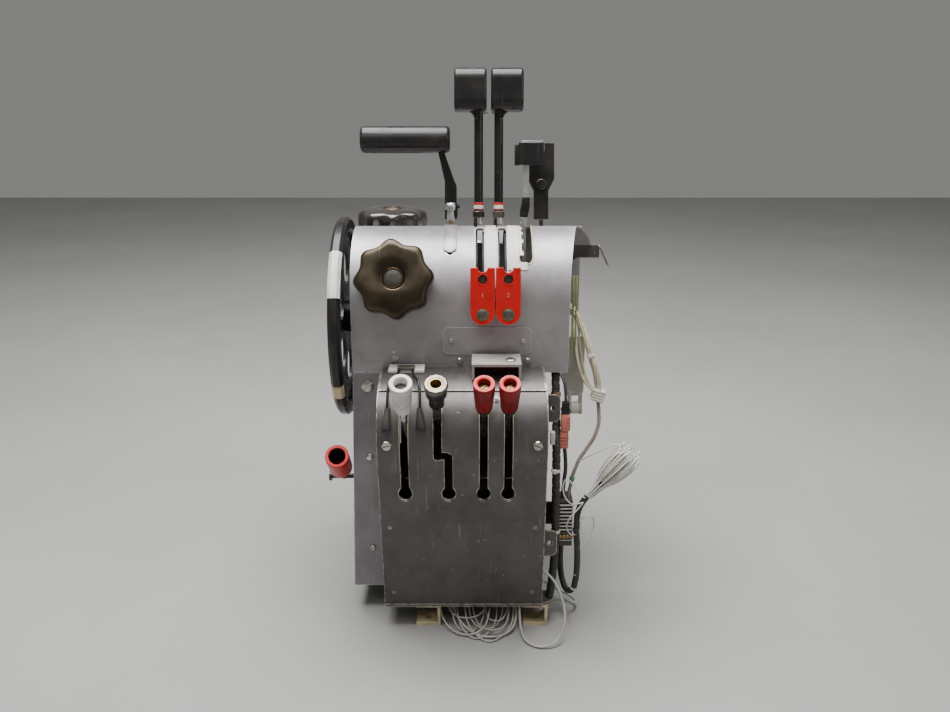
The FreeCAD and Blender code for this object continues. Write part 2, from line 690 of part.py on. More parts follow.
def make_throttles():
    for label, x, side in (("throttle_1", s.throttleX1, -1), ("throttle_2", s.throttleX2, 1)):
        plate = arm(label + "_plate", throttle_arm_x(x) - x, collar_z, s.throttleShaft)
        bar = new_body(label + "_bar")
        collar, shaft, turn = s.throttleCollar / 2, s.throttleShaft / 2, s.neckRound
        profile = [(0, collar_z), (collar, collar_z), (collar, collar_top), (shaft, collar_top),
                   (shaft, head_z), (0, head_z)]
        revolve(bar, sketch(bar, "XZ", [profile]))
        neck = new_body(label + "_neck")
        edge, out = side * shaft, side * (shaft + turn)
        web = [(edge, head_z - turn), ("arc", out, head_z - turn, -side), (out, head_z), (0, head_z),
               (0, head_z - turn)]
        pad(neck, sketch(neck, "XZ", [web]), shaft, middle=True)
        stand(label + "_lever", fuse(label + "_lever", [plate, bar, neck]), x, upper, s.throttleRest)
        stand(label + "_grip", throttle_head(label + "_grip", side), x, upper, s.throttleRest)


def make_fuel_cocks():
    for label, x, pad_x in (("fuel_cock_1", s.fuelX1, s.fuelPadX1), ("fuel_cock_2", s.fuelX2, s.fuelPadX2)):
        plate = arm(label + "_plate", x - pad_x, fuel_pad_z, 12)
        body = new_body(label + "_pad")
        half, tall = s.fuelPadWide / 2, s.fuelPadTall / 2
        notch = s.fuelPadWide / 5
        outline = [(-half, half - tall), ("arc", 0, half - tall, 1), (half, half - tall), (half, tall),
                   (notch, tall), ("arc", 0, tall, -1), (-notch, tall), (-half, tall)]
        pad(body, sketch(body, "XY", [outline], fuel_pad_z), s.fuelPadDeep)
        eye = sketch(body, "XY", [("circle", 0, tall * 0.6, notch)], fuel_pad_z + s.fuelPadDeep)
        pocket(body, eye, s.fuelPadDeep * 0.6)
        stand(label, fuse(label, [plate, body]), pad_x, upper, s.fuelRest)


def make_airbrake():
    plate = arm("airbrake_plate", 0, collar_z, s.bladeTip)
    half, bend, under = s.airbrakeArm / 2, collar_z + s.airbrakeBend, s.airbrakeGripZ - s.airbrakeGripRadius
    body = new_body("airbrake_bar")
    neck, out = s.airbrakeNeck / 2, s.airbrakeOffset
    outline = [(-half, collar_z), (half, collar_z), (half, bend - half), ("arc", -half, bend - half, 1),
               (half * 0.66, bend), (neck - out, under), (-neck - out, under), (-half, bend)]
    pad(body, sketch(body, "XZ", [outline]), s.airbrakeBar, middle=True)
    stand("airbrake_lever", fuse("airbrake_lever", [plate, body]), s.airbrakeX, upper, s.airbrakeRest)
    grip = rod("airbrake_stick", s.airbrakeGripRadius, s.airbrakeGripLeft - s.airbrakeGripRight,
               (-s.airbrakeGripLeft, 0, s.airbrakeGripZ), "X")
    head = doc.addObject("Part::Fillet", "airbrake_grip")
    head.Base = grip
    doc.recompute()
    edge_round = s.gripEdge.number
    head.Edges = [(index, edge_round, edge_round) for index, edge in enumerate(grip.Shape.Edges, 1)
                  if edge.Curve.TypeId == "Part::GeomCircle"]
    stand("airbrake_grip", head, 0, upper, s.airbrakeRest)


def make_flap_lever():
    plate = arm("flap_plate", 0, collar_z, s.bladeTip)
    body = new_body("flap_blade")
    half = s.flapBlade / 2
    outline = [(-half, collar_z), (half, collar_z), (half + 2, collar_top),
               (half + 2, s.flapKnobZ), (2 - half, s.flapKnobZ), (2 - half, collar_top)]
    pad(body, sketch(body, "XZ", [outline]), s.flapBlade, middle=True)
    stand("flap_lever", fuse("flap_lever", [plate, body]), s.flapX, upper, s.flapRest)
    block = box("flap_block", (s.flapKnobX - s.flapX - s.flapKnobWide / 2, -s.flapKnobDeep / 2,
                               s.flapKnobZ), (s.flapKnobWide, s.flapKnobDeep, s.flapKnobTall))
    stand("flap_knob", rounded("flap_knob", block, 2), s.flapX, upper, s.flapRest)


def make_wheel_brake():
    plate = arm("wheel_brake_plate", 0, collar_z, s.bladeTip)
    body = new_body("wheel_brake_blade")
    half, head = s.brakeShaft / 2, s.brakeHeadWide / 2
    neck, shoulder, notch = s.brakeHeadFrom - 8, s.brakeHeadFrom + 4, s.brakeHeadTo - 8
    right = [(half, collar_z), (half, neck), (head, shoulder), (head, s.brakeHeadTo),
             (half / 2, s.brakeHeadTo), (half / 2, notch)]
    left = [(-across, up) for across, up in reversed(right)]
    pad(body, sketch(body, "XZ", [right + left]), s.brakeDeep, middle=True)
    stand("wheel_brake_lever", fuse("wheel_brake_lever", [plate, body]), s.brakeX, upper, s.brakeRest)


def lower_grip(name):
    """A round grip, a little narrower at its root, with a blind bore in its end."""
    body = new_body(name)
    long, r = s.gripLong, s.gripRadius
    profile = [(0, 0), (s.gripRoot - 1, 0), (s.gripRoot, 1), (r, long * 0.6), (r, long - 2), (r - 2, long),
               (s.gripBore, long), (s.gripBore, long - s.boreDepth), (0, long - s.boreDepth)]
    revolve(body, sketch(body, "XZ", [profile]))
    lean = s.gripLean - s.lowerRest
    return group(name + "_leaning", [place(body, 0, 0, grip_from, Vector(1, 0, 0), lean)])


def lower_arm(name):
    return arm(name, 0, grip_from, s.lowerBlade, s.gripLean - s.lowerRest)


def make_lower_levers():
    for name, x in (("lp_cock_1", s.lpX1), ("lp_cock_2", s.lpX2)):
        stand(name + "_arm", lower_arm(name + "_arm"), x, lower, s.lowerRest)
        stand(name + "_grip", lower_grip(name + "_grip"), x, lower, s.lowerRest)
    for name, x in (("white_lever", s.whiteX), ("black_lever", s.blackX)):
        pieces = [lower_arm(name + "_arm"), lower_grip(name + "_grip")]
        stand(name, fuse(name, pieces), x, lower, s.lowerRest)


# ---------------------------------------------------------------- trim knobs and wheel
def star_outline():
    """Round lobes joined by wide hollows, each arc tangent to the next."""
    step = as_size(180) / s.knobLobes
    r, lobe, waist = s.knobRadius, s.knobLobe, s.knobWaist
    crest = r - lobe                          # distance of a lobe's centre
    reach = 2 * crest * cos(step)
    hollow = (waist * waist + crest * crest - reach * waist - lobe * lobe) / (reach + 2 * lobe - 2 * waist)
    far = waist + hollow
    outline = []
    for index in range(int(s.knobLobes.number)):
        middle = step * (2 * index)
        centre = (crest * cos(middle), crest * sin(middle))
        ends = []
        for sign in (-1, 1):
            valley = middle + step * sign
            pull = lobe / (lobe + hollow)
            ends.append((centre[0] + (far * cos(valley) - centre[0]) * pull,
                         centre[1] + (far * sin(valley) - centre[1]) * pull))
        valley = middle + step
        outline += [ends[0], ("arc", centre[0], centre[1], 1), ends[1],
                    ("arc", far * cos(valley), far * sin(valley), -1)]
    return outline


def star_knob(name):
    """A dished round knob with eight finger hollows round its rim."""
    turned = new_body(name + "_turned")
    low, top = s.knobFoot + s.gap, s.knobFoot + s.gap + s.knobThick
    r, cap, edge = s.knobRadius, s.knobCap, s.knobEdge
    profile = [(0, low), (s.knobStem, low), (s.knobStem, low + edge), (r - edge, low + edge),
               (r, low + edge * 2), (r, top - edge), (r - edge, top), (cap + 1, top - s.knobDish),
               (cap, top - s.knobDish / 2), (0, top - s.knobDish / 2)]
    revolve(turned, sketch(turned, "XZ", [profile]))
    star = new_body(name + "_star")
    pad(star, sketch(star, "XY", [star_outline()], low), s.knobThick)
    common = doc.addObject("Part::MultiCommon", name)
    common.Shapes = [turned, star]
    return keep(name, common)


def make_trim_knobs():
    tilt = s.aileronTilt
    reach = s.coverRadius
    where = (s.aileronX, upper[0] - reach * sin(tilt), upper[1] + reach * cos(tilt))
    place(star_knob("aileron_knob"), *where, Vector(1, 0, 0), tilt)
    foot = rod("aileron_bush", s.knobStem, s.knobFoot + 2, (0, 0, -2))
    rod_shape = place(group("aileron_bushing", [foot]), *where, Vector(1, 0, 0), tilt)
    inside = rod("aileron_bush_bed", reach, s.knobStem * 4, (s.aileronX - s.knobStem * 2, *upper), "X")
    deck = upper[1] + s.deckRise
    place(star_knob("rudder_knob"), s.rudderX, s.rudderY, deck)
    return [cut("aileron_bushing", rod_shape, [inside]),
            rod("rudder_bushing", s.knobStem, s.knobFoot, (s.rudderX, s.rudderY, deck))]


def make_trim_wheel():
    body = new_body("trim_wheel")
    half, rim, deep = s.wheelRim / 2, s.wheelRadius, s.wheelRimDeep
    web = s.wheelWeb / 2
    profile = [(s.axleRadius + s.runningFit, -half), (s.wheelHub, -half), (s.wheelHub, -web),
               (rim - deep, -web), (rim - deep, -half + 2), (rim - deep + 3, -half), (rim - 3, -half),
               (rim, -half + 3), (rim, half - 3), (rim - 3, half), (rim - deep + 3, half),
               (rim - deep, half - 2), (rim - deep, web), (s.wheelHub, web), (s.wheelHub, half),
               (s.axleRadius + s.runningFit, half)]
    revolve(body, sketch(body, "XZ", [profile]))
    doc.recompute()
    holes = pocket(body, sketch(body, "XY", [("circle", (rim - deep + s.wheelHub) / 2, 0, 18)]))
    doc.recompute()
    around(body, holes, 6)
    x = -s.coverLeft - s.wheelGap - half
    keep("trim_wheel", place(body, x, s.wheelY, s.wheelZ, Vector(0, 1, 0), -90))
    start = -s.coverLeft - s.wheelGap - s.wheelRim
    axle = rod("wheel_axle_pin", s.axleRadius, s.wheelRim + s.wheelGap + 3, (start - 3, s.wheelY, s.wheelZ),
               "X")
    collar = rod("wheel_axle_collar", s.wheelHub, s.wheelGap - s.gap, (s.gap - s.coverLeft - s.wheelGap,
                 s.wheelY, s.wheelZ), "X")
    cap = rod("wheel_axle_cap", s.knobCap, 3 - s.gap, (start - 3, s.wheelY, s.wheelZ), "X")
    return [fuse("wheel_axle", [axle, collar, cap])]


def wall_x(z):
    """The outer face of the side box's leaning wall at a height."""
    drop = (s.shelfZ - z) / (s.shelfZ - base_top)
    return -s.coverLeft - s.sideFlare * drop


def make_pull_handle():
    """A hollow pull tube that swings on a pin in the side wall."""
    x = wall_x(s.pullZ) - s.pullRadius - s.gap * 3
    body = new_body("pull_handle")
    pad(body, sketch(body, "XY", [("circle", 0, 0, s.pullRadius)], -s.pullSocket), s.pullSocket * 2)
    pad(body, sketch(body, "XY", [("circle", 0, 0, s.pullRadius), ("circle", 0, 0, s.pullBore)],
                     s.pullSocket), s.pullLong)
    pocket(body, sketch(body, "YZ", [("circle", 0, 0, s.pullPin + s.runningFit)]))
    keep("pull_handle", place(body, x, s.pullY, s.pullZ, Vector(1, 0, 0), s.pullLean))
    start = x - s.pullRadius - 3
    long = wall_x(s.pullZ) - start
    pin = rod("pull_pin", s.pullPin, long, (start, s.pullY, s.pullZ), "X")
    head = rod("pull_pin_head", s.pullPin * 2, 3 - s.gap, (start, s.pullY, s.pullZ), "X")
    return [fuse("pull_axle", [pin, head])]


# ---------------------------------------------------------------- plates, guards and fasteners
def make_switch_plate():
    face = s.coverY + s.coverRadius
    body = new_body("switch_plate")
    wide, tall, r = s.switchWide / 2, s.switchTall / 2, s.cornerRound
    x, z = s.switchX, s.switchZ
    outline = [(x - wide + r, z - tall), (x + wide - r, z - tall), ("arc", x + wide - r, z - tall + r, 1),
               (x + wide, z - tall + r), (x + wide, z + tall - r), ("arc", x + wide - r, z + tall - r, 1),
               (x + wide - r, z + tall), (x - wide + r, z + tall), ("arc", x - wide + r, z + tall - r, 1),
               (x - wide, z + tall - r), (x - wide, z - tall + r), ("arc", x - wide + r, z - tall + r, 1)]
    pad(body, sketch(body, "XZ", [outline], face), s.switchRaise)
    keep("switch_plate", body)


def curved_plate(name, x, width, start, stop, raise_, hole=None):
    """A thin plate bent onto the cover's arch, between two angles up from the crew's side."""
    inner, outer = s.coverRadius, s.coverRadius + raise_
    body = new_body(name + "_sheet")

    def at(r, angle):
        return (upper[0] - r * cos(angle), upper[1] + r * sin(angle))

    outline = [at(inner, start), ("arc", upper[0], upper[1], -1), at(inner, stop), at(outer, stop),
               ("arc", upper[0], upper[1], 1), at(outer, start)]
    pad(body, sketch(body, "YZ", [outline], x - width / 2), width)
    return cut(name, body, [hole]) if hole else body


def make_gate_plates():
    label = curved_plate("label_plate", s.labelX, s.labelWide, s.labelFrom, s.labelTo, s.labelRaise)
    reach = s.coverRadius * 1.3
    slot = slot_tool("airbrake_gate_slot", s.airbrakeX, s.gateSlot, reach, upper, s.gateFrom, s.gateTo)
    gate = curved_plate("airbrake_gate", s.airbrakeX, s.gateWide, s.gateFrom - 4, s.gateTo + 4,
                        s.stripSheet, slot)
    keep("gate_plates", group("gate_plates", [label, gate]))


def make_guard():
    top, sheet = s.guardTop, s.guardSheet
    bed = lower[1] + s.drumRadius + s.stripSheet
    body = new_body("cock_guard")
    left, right = s.guardLeft, s.guardRight
    outline = [(left, bed), (left + sheet, bed), (left + sheet, top - sheet), (right - sheet, top - sheet),
               (right - sheet, bed), (right, bed), (right, top), (left, top)]
    pad(body, sketch(body, "XZ", [outline], s.guardBack), s.guardFront - s.guardBack)
    keep("cock_guard", body)


def make_lugs():
    pieces = []
    for z in (s.lugZ, s.lugZ + s.lugSpan):
        body = new_body("lug")
        half, r = s.lugTall / 2, s.cornerRound
        x, reach = s.bodyRight, s.lugReach
        outline = [(x, z - half), (x + reach - r, z - half), ("arc", x + reach - r, z - half + r, 1),
                   (x + reach, z - half + r), (x + reach, z + half - r),
                   ("arc", x + reach - r, z + half - r, 1), (x + reach - r, z + half), (x, z + half)]
        hole = ("circle", x + reach / 2, z, s.lugHole / 2)
        pad(body, sketch(body, "XZ", [outline, hole], s.lugY - s.lugSheet), s.lugSheet)
        leg = box("lug_leg", (x, -s.lugY, z - half), (s.lugSheet, s.lugTall / 2, s.lugTall))
        pieces.append(fuse("lug_bracket", [body, leg]))
    keep("console_lugs", group("console_lugs", pieces))


def make_bail():
    """A wire bail that stands round the white lever, on two pads on the drum."""
    wire = s.bailWire / 2
    foot_r, head_r = s.drumRadius, s.bailReach
    foot = (lower[0] - foot_r * cos(s.bailFoot), lower[1] + foot_r * sin(s.bailFoot))
    head = (lower[0] - head_r * cos(s.bailHead), lower[1] + head_r * sin(s.bailHead))
    rise = math.hypot(number(head[0] - foot[0]), number(head[1] - foot[1]))
    lean = math.degrees(math.atan2(number(foot[0] - head[0]), number(head[1] - foot[1])))
    pieces = []
    for side in (-1, 1):
        leg = doc.addObject("Part::Cylinder", "bail_leg")
        bind(leg, "Radius", wire)
        leg.Height = rise
        x = s.whiteX + side * s.bailHalf
        pieces.append(place(leg, x, *foot, Vector(1, 0, 0), lean))
        pad_ = doc.addObject("Part::Cylinder", "bail_pad")
        bind(pad_, "Radius", s.bailPad)
        bind(pad_, "Height", 4)
        seat = foot_r - 0.3
        place(pad_, x, lower[0] - seat * cos(s.bailFoot), lower[1] + seat * sin(s.bailFoot),
              Vector(1, 0, 0), as_size(90) - s.bailFoot)
        pieces.append(pad_)
    pieces.append(rod("bail_cross", wire, s.bailHalf * 2, (s.whiteX - s.bailHalf, *head), "X"))
    joined = fuse("bail_wire", pieces)
    drum = rod("bail_bed", s.drumRadius, s.bailHalf * 4, (s.whiteX - s.bailHalf * 2, *lower), "X")
    keep("bail_guard", cut("bail_guard", joined, [drum]))


def make_gusset():
    """The plate under the deck's front edge at the open end, with its tab and lip."""
    top = upper[1] + s.deckRise - s.coverSheet
    face = -(upper[0] + root(s.coverRadius * s.coverRadius - s.deckRise * s.deckRise))
    left, right = s.gussetLeft, s.gussetRight
    tab, foot, r = top - s.gussetDrop, top - s.gussetFoot, s.cornerRound * 2
    outline = [(left, foot), (left + r, foot), (left + r, tab - r), ("arc", left + r * 2, tab - r, -1),
               (left + r * 2, tab), (right, tab), (right, top), (left, top)]
    body = new_body("gusset_plate")
    pad(body, sketch(body, "XZ", [outline], face - s.gussetSheet), s.gussetSheet)
    body_low = new_body("gusset_lip_sheet")
    lean = s.lipLong * sin(s.lipLean)
    drop = s.lipLong * cos(s.lipLean)
    slope = [(right - s.gussetSheet, top), (right, top), (right + lean, top - drop),
             (right + lean - s.gussetSheet, top - drop)]
    pad(body_low, sketch(body_low, "XZ", [slope], face - s.gussetSheet), s.lipDeep)
    keep("arch_gusset", fuse("arch_gusset", [body, body_low]))


def make_side_plate():
    """The hanging plate under the open end with a clevis and roller at its foot."""
    left, right = s.bearingX + s.bearingPlate, s.sidePlateRight
    top, foot, r = s.sidePlateTop, s.sidePlateFoot, s.cornerRound
    y, sheet = s.sidePlateY, s.clevisSheet
    outline = [(left, top), (left, foot + r * 3), (left + r, foot), (right - r, foot),
               ("arc", right - r, foot + r, 1), (right, foot + r), (right, top)]
    body = new_body("side_plate_sheet")
    pad(body, sketch(body, "XZ", [outline], y), s.panelSheet)
    pieces = [body]
    middle = (left + right + r) / 2
    span = s.rollerLong + s.gap * 2
    for x in (middle - span / 2 - sheet, middle + span / 2):
        cheek = new_body("clevis_cheek")
        pin_z = foot - s.clevisDrop * 0.6
        half = s.rollerRadius
        shape = [(-y, foot + r), (-y - half, pin_z), ("arc", -y, pin_z, 1), (-y + half, pin_z),
                 (-y + s.panelSheet * 3, foot + r)]
        hole = ("circle", -y, pin_z, s.rollerPin + s.runningFit)
        shape[0] = (-y - s.panelSheet, foot + r)
        pad(cheek, sketch(cheek, "YZ", [shape, hole], x), sheet)
        pieces.append(cheek)
    keep("side_plate", fuse("side_plate", pieces))
    pin = rod("roller_pin", s.rollerPin, span + sheet * 2, (middle - span / 2 - sheet, -y, pin_z), "X")
    wheel = rod("roller_wheel", s.rollerRadius - s.gap, s.rollerLong, (middle - s.rollerLong / 2, -y,
                pin_z), "X")
    keep("clevis_roller", fuse("clevis_roller", [pin, wheel]))


def make_terminal_block():
    x = s.bodyRight + s.lugSheet + s.terminalGap
    wide, deep, low, tall = s.terminalWide, s.terminalDeep, s.terminalZ, s.terminalTall
    body = new_body("terminal_block")
    floor = [(x, low), (x + wide, low), (x + wide, low + tall), (x, low + tall)]
    pad(body, sketch(body, "XZ", [floor], s.terminalY - deep), deep)
    doc.recompute()
    pitch = tall * 0.7 / s.ribCount
    groove = sketch(body, "YZ", [[(-s.terminalY, low + tall * 0.3), (-s.terminalY + s.ribDepth, low + tall * 0.3),
                                  (-s.terminalY + s.ribDepth, low + tall * 0.3 + pitch - s.ribSheet),
                                  (-s.terminalY, low + tall * 0.3 + pitch - s.ribSheet)]])
    bite = pocket(body, groove)
    doc.recompute()
    line = [f for f in body.Origin.OriginFeatures if f.Role == "Z_Axis"][0]
    rows = body.newObject("PartDesign::LinearPattern", "terminal_rows")
    rows.Originals = [bite]
    rows.Direction = (line, [""])
    bind(rows, "Length", tall * 0.7 - pitch)
    rows.Occurrences = round(s.ribCount.number)
    body.Tip = rows
    back = s.terminalY - deep
    leg = box("terminal_leg", (s.bodyRight, -back, low + tall / 4), (x + wide - s.bodyRight, s.lugSheet,
              tall / 2))
    keep("terminal_block", fuse("terminal_block", [body, leg]))


def make_plugs():
    keep("red_plug", rod("red_plug", s.redPlugRadius, s.redPlugLong,
                         (s.redPlugX, -s.redPlugY, s.redPlugZ)))
    long, thick = s.creamPlug, s.creamPlug * 0.8
    corner = (s.creamPlugX - long / 2, -s.creamPlugY - thick / 2, s.creamPlugZ)
    keep("cream_plug", box("cream_plug", corner, (long, thick, long)))


def make_hank():
    """The tied bundle of spare wire that stands out from the loom."""
    hank = doc.addObject("Part::Cone", "wire_hank")
    bind(hank, "Radius1", s.hankThin)
    bind(hank, "Radius2", s.hankThick)
    bind(hank, "Height", s.hankLong)
    keep("wire_hank", place(hank, s.hankX, -s.hankY, s.hankZ, Vector(0, 1, 0), s.hankLean))


# Routes of the cords, from the end that is held: points chosen by hand along each cord.
cords = {
    "main_harness": (s.harnessBore, [(73, -88, 262.8), (74, -97, 222), (74, -113, 182), (74, -118, 140),
                                     (74.5, -118, 96), (73.5, -118, 56), (70, -118, 27.8)]),
    "loom_loop": (s.loomBore, [(106, -119, 141), (96.5, -119, 130.3), (95, -121, 106), (97, -123, 80),
                               (97, -122, 54), (95, -114, 33), (89, -100, 22), (84, -85, 34),
                               (82.5, -86, 60), (83, -92, 81.5)]),
    "plug_wires": (s.plugWires, [(82, -40, 322), (94, -50, 316), (103, -64, 296), (110, -72, 272),
                                 (116, -75, 254), (118, -75, 239)]),
    "plug_lead": (s.leadBore, [(118, -75, 226), (121, -80, 206), (113, -88, 188), (99, -95, 172),
                               (91, -100, 153), (88, -102, 132)]),
    "red_lead": (s.redLead, [(82.5, -106, 187), (85, -104, 168), (83, -103, 150), (82, -104, 132)]),
    "floor_wire": (s.wireBore, [(61.4, -131, 64), (70, -134, 60), (79, -141, 45), (84, -151, 28),
                                (81, -162, 13), (71, -171, 4), (57, -173, 1.8), (45, -165, 2),
                                (40, -152, 5), (39, -139, 9.5), (38.5, -130, 17), (38.5, -128, 24)]),
    "base_wire": (s.wireBore, [(-30, -112, 24), (-30, -118, 14), (-22, -134, 6), (-6, -152, 2),
                               (14, -156, 2.2), (30, -146, 3.5), (36, -130, 10), (34, -118, 17),
                               (32, -112, 24)]),
}


def make_cords():
    for name, (across, points) in cords.items():
        keep(name, tube(name, points, across))


def make_fasteners():
    """Pan-head screws on the cover, the drum panel and the side box."""
    face = -(s.coverY + s.coverRadius)
    pieces = []
    for x, z in ((s.aileronX - 2, s.shelfZ + 14), (s.switchX - s.switchWide / 4 - 5, s.shelfZ + 12),
                 (s.switchX + s.switchWide / 2 - 4, s.shelfZ + 12)):
        pieces.append(rod("cover_screw", s.screwHead * 0.6, s.screwTall, (x, face - s.screwTall, z), "Y"))
    for x in (s.switchX - s.switchWide / 2 + 9, s.switchX + s.switchWide / 2 - 9):
        pieces.append(rod("plate_rivet", s.screwHead * 0.5, s.screwTall,
                          (x, face - s.switchRaise - s.screwTall, s.switchZ), "Y"))
    edge = -s.bodyLeft + s.bigScrew * 1.6
    for x in (edge, s.bodyRight - s.bigScrew * 1.6):
        screw = doc.addObject("Part::Cylinder", "panel_screw")
        bind(screw, "Radius", s.screwHead)
        bind(screw, "Height", s.screwTall)
        pieces.append(place(screw, x, lower[0] - s.drumRadius, lower[1], Vector(1, 0, 0), 90))
    x = -(s.coverLeft + s.bodyLeft) / 2
    for z, r in ((s.shelfZ - 14, s.bigScrew), (s.shelfZ - 90, s.screwHead * 0.7), (base_top + 44,
                 s.screwHead * 0.6)):
        pieces.append(rod("side_screw", r, s.screwTall, (x, face - s.screwTall, z), "Y"))
    keep("fasteners", group("fasteners", pieces))


def make_all():
    make_base()
    make_feet()
    make_frame_plates()
    make_shelf()
    make_cover_plates()
    make_rear_panel()
    make_lower_panel()
    make_top_strip()
    make_side_box()
    make_cover()
    make_shafts()
    make_spacers()
    make_throttles()
    make_fuel_cocks()
    make_airbrake()
    make_flap_lever()
    make_wheel_brake()
    make_lower_levers()
    bushings = make_trim_knobs() + make_trim_wheel() + make_pull_handle()
    keep("trim_bushings", group("trim_bushings", bushings))
    make_switch_plate()
    make_gate_plates()
    make_guard()
    make_lugs()
    make_bail()
    make_gusset()
    make_side_plate()
    make_terminal_block()
    make_plugs()
    make_hank()
    make_cords()
    make_fasteners()


make_all()
doc.recompute()

# ---------------------------------------------------------------- checks and files
failed = [f"{thing.Name} {thing.State}" for thing in doc.Objects
          if "Invalid" in thing.State or "Error" in thing.State]
for name, thing in nodes.items():
    if thing.Shape.isNull() or not thing.Shape.isValid() or not thing.Shape.Solids:
        failed.append(f"{name} has no valid shape")
if failed:
    raise SystemExit("not built: " + "; ".join(failed))
os.makedirs("parts", exist_ok=True)
for name, thing in nodes.items():
    thing.Shape.exportStep(f"parts/{name}.step")
print(len(nodes), "sub-parts written")
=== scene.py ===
import math
import random
import bmesh
import bpy
from mathutils import Matrix, Vector


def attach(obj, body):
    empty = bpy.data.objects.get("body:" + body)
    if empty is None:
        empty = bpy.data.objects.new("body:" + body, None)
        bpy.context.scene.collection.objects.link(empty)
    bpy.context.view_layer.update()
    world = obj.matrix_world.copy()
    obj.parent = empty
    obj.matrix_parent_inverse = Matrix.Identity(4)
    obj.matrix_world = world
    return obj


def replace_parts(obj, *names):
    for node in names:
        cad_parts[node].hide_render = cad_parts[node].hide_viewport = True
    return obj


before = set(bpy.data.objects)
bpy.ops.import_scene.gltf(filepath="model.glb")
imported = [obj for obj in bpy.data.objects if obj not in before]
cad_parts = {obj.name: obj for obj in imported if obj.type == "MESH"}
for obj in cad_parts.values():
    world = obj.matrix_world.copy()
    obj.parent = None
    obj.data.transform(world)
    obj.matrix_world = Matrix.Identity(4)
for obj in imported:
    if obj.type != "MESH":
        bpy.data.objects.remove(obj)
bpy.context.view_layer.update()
mm = 0.001
random.seed(7)

# in mm: the two lever shafts run along X through these centres, with the drum and the arch round them
drum = {"y": -117, "z": 215.3, "radius": 52}
arch = {"y": -30, "z": 331.5, "radius": 65}
coverFront = -95  # Y of the cover's flat front


def placed(name, data):  # a new object in the scene
    obj = bpy.data.objects.new(name, data)
    bpy.context.scene.collection.objects.link(obj)
    return obj


def addCamera():
    camera = placed("benchCamera", bpy.data.cameras.new("benchCamera"))
    camera.location = (-0.007, -1.035, 0.5673)
    camera.rotation_euler = (math.radians(73), 0, 0)
    camera.data.lens = 37.9
    camera.data.sensor_width = 36
    bpy.context.scene.camera = camera


# softboxes in metres, and the light that fills the room
studio = {
    "top": {"at": (-0.15, 0.0, 1.75), "aim": (0, -0.02, 0.3), "size": 1.3, "power": 84},
    "front": {"at": (-0.5, -1.35, 2.0), "aim": (0, 0, 0.3), "size": 1.1, "power": 7},
    "right": {"at": (1.6, -0.9, 1.1), "aim": (0, 0, 0.2), "size": 0.9, "power": 6},
}
air = {"colour": (0.62, 0.62, 0.6, 1), "strength": 0.36}


def addLights():
    for name, lamp in studio.items():
        light = bpy.data.lights.new(name + "Softbox", "AREA")
        light.shape = "SQUARE"
        light.size = lamp["size"]
        light.energy = lamp["power"]
        box = placed(name + "Softbox", light)
        box.location = lamp["at"]
        aim = Vector(lamp["aim"]) - Vector(lamp["at"])
        box.rotation_euler = aim.to_track_quat("-Z", "Y").to_euler()
    world = bpy.data.worlds.new("studioAir")
    bpy.context.scene.world = world
    world.use_nodes = True
    sky = world.node_tree.nodes["Background"]
    sky.inputs["Color"].default_value = air["colour"]
    sky.inputs["Strength"].default_value = air["strength"]


def node(tree, kind, values, links):
    made = tree.nodes.new("ShaderNode" + kind)
    for name, value in values.items():
        made.inputs[name].default_value = value
    for name, source in links.items():
        tree.links.new(source, made.inputs[name])
    return made


def feed(tree, socket, value):  # a fixed number or colour, or what another node gives
    if isinstance(value, bpy.types.NodeSocket):
        tree.links.new(value, socket)
    else:
        socket.default_value = (*value, 1) if isinstance(value, tuple) else value


def noise(tree, place, scale, detail=4, distortion=0.0):
    values = {"Scale": scale, "Detail": detail, "Distortion": distortion}
    return node(tree, "TexNoise", values, {"Vector": place}).outputs[0]


def stretch(tree, place, scale, turn):
    return node(tree, "Mapping", {"Scale": scale, "Rotation": turn}, {"Vector": place}).outputs["Vector"]


def spread(tree, source, low, high, outLow=0.0, outHigh=1.0):
    values = {"From Min": low, "From Max": high, "To Min": outLow, "To Max": outHigh}
    return node(tree, "MapRange", values, {"Value": source}).outputs["Result"]


def sums(tree, operation, first, second):
    made = node(tree, "Math", {}, {})
    made.operation = operation
    made.use_clamp = True
    feed(tree, made.inputs[0], first)
    feed(tree, made.inputs[1], second)
    return made.outputs[0]


def mixColour(tree, share, first, second):
    made = node(tree, "Mix", {}, {})
    made.data_type = "RGBA"
    for socket, value in ((0, share), (6, first), (7, second)):  # the factor and the two colours
        feed(tree, made.inputs[socket], value)
    return made.outputs[2]


def edgeWearAndHighlight(tree, reach):  # how close a point lies to a sharp outer edge, from a rounded normal, where the bare colour goes on as edge wear and as a painted edge highlight
    rounded = node(tree, "Bevel", {"Radius": reach * mm}, {})
    rounded.samples = 4
    flat = node(tree, "NewGeometry", {}, {})
    dot = node(tree, "VectorMath", {}, {0: rounded.outputs["Normal"], 1: flat.outputs["Normal"]})
    dot.operation = "DOT_PRODUCT"
    return spread(tree, dot.outputs["Value"], 0.985, 0.90)


# noise scales of the wear, the reach and lie of the scratches, and what the shaders share
wear = {"stain": 55, "chip": 260, "torn": 180, "gloss": 70, "scratch": (340, 16, 22),
        "scratchTurns": ((0.3, 0.2, 0.5), (1.2, 0.9, -0.4)), "turned": 0.85, "coatRough": 0.12,
        "bumpDepth": 0.0004}


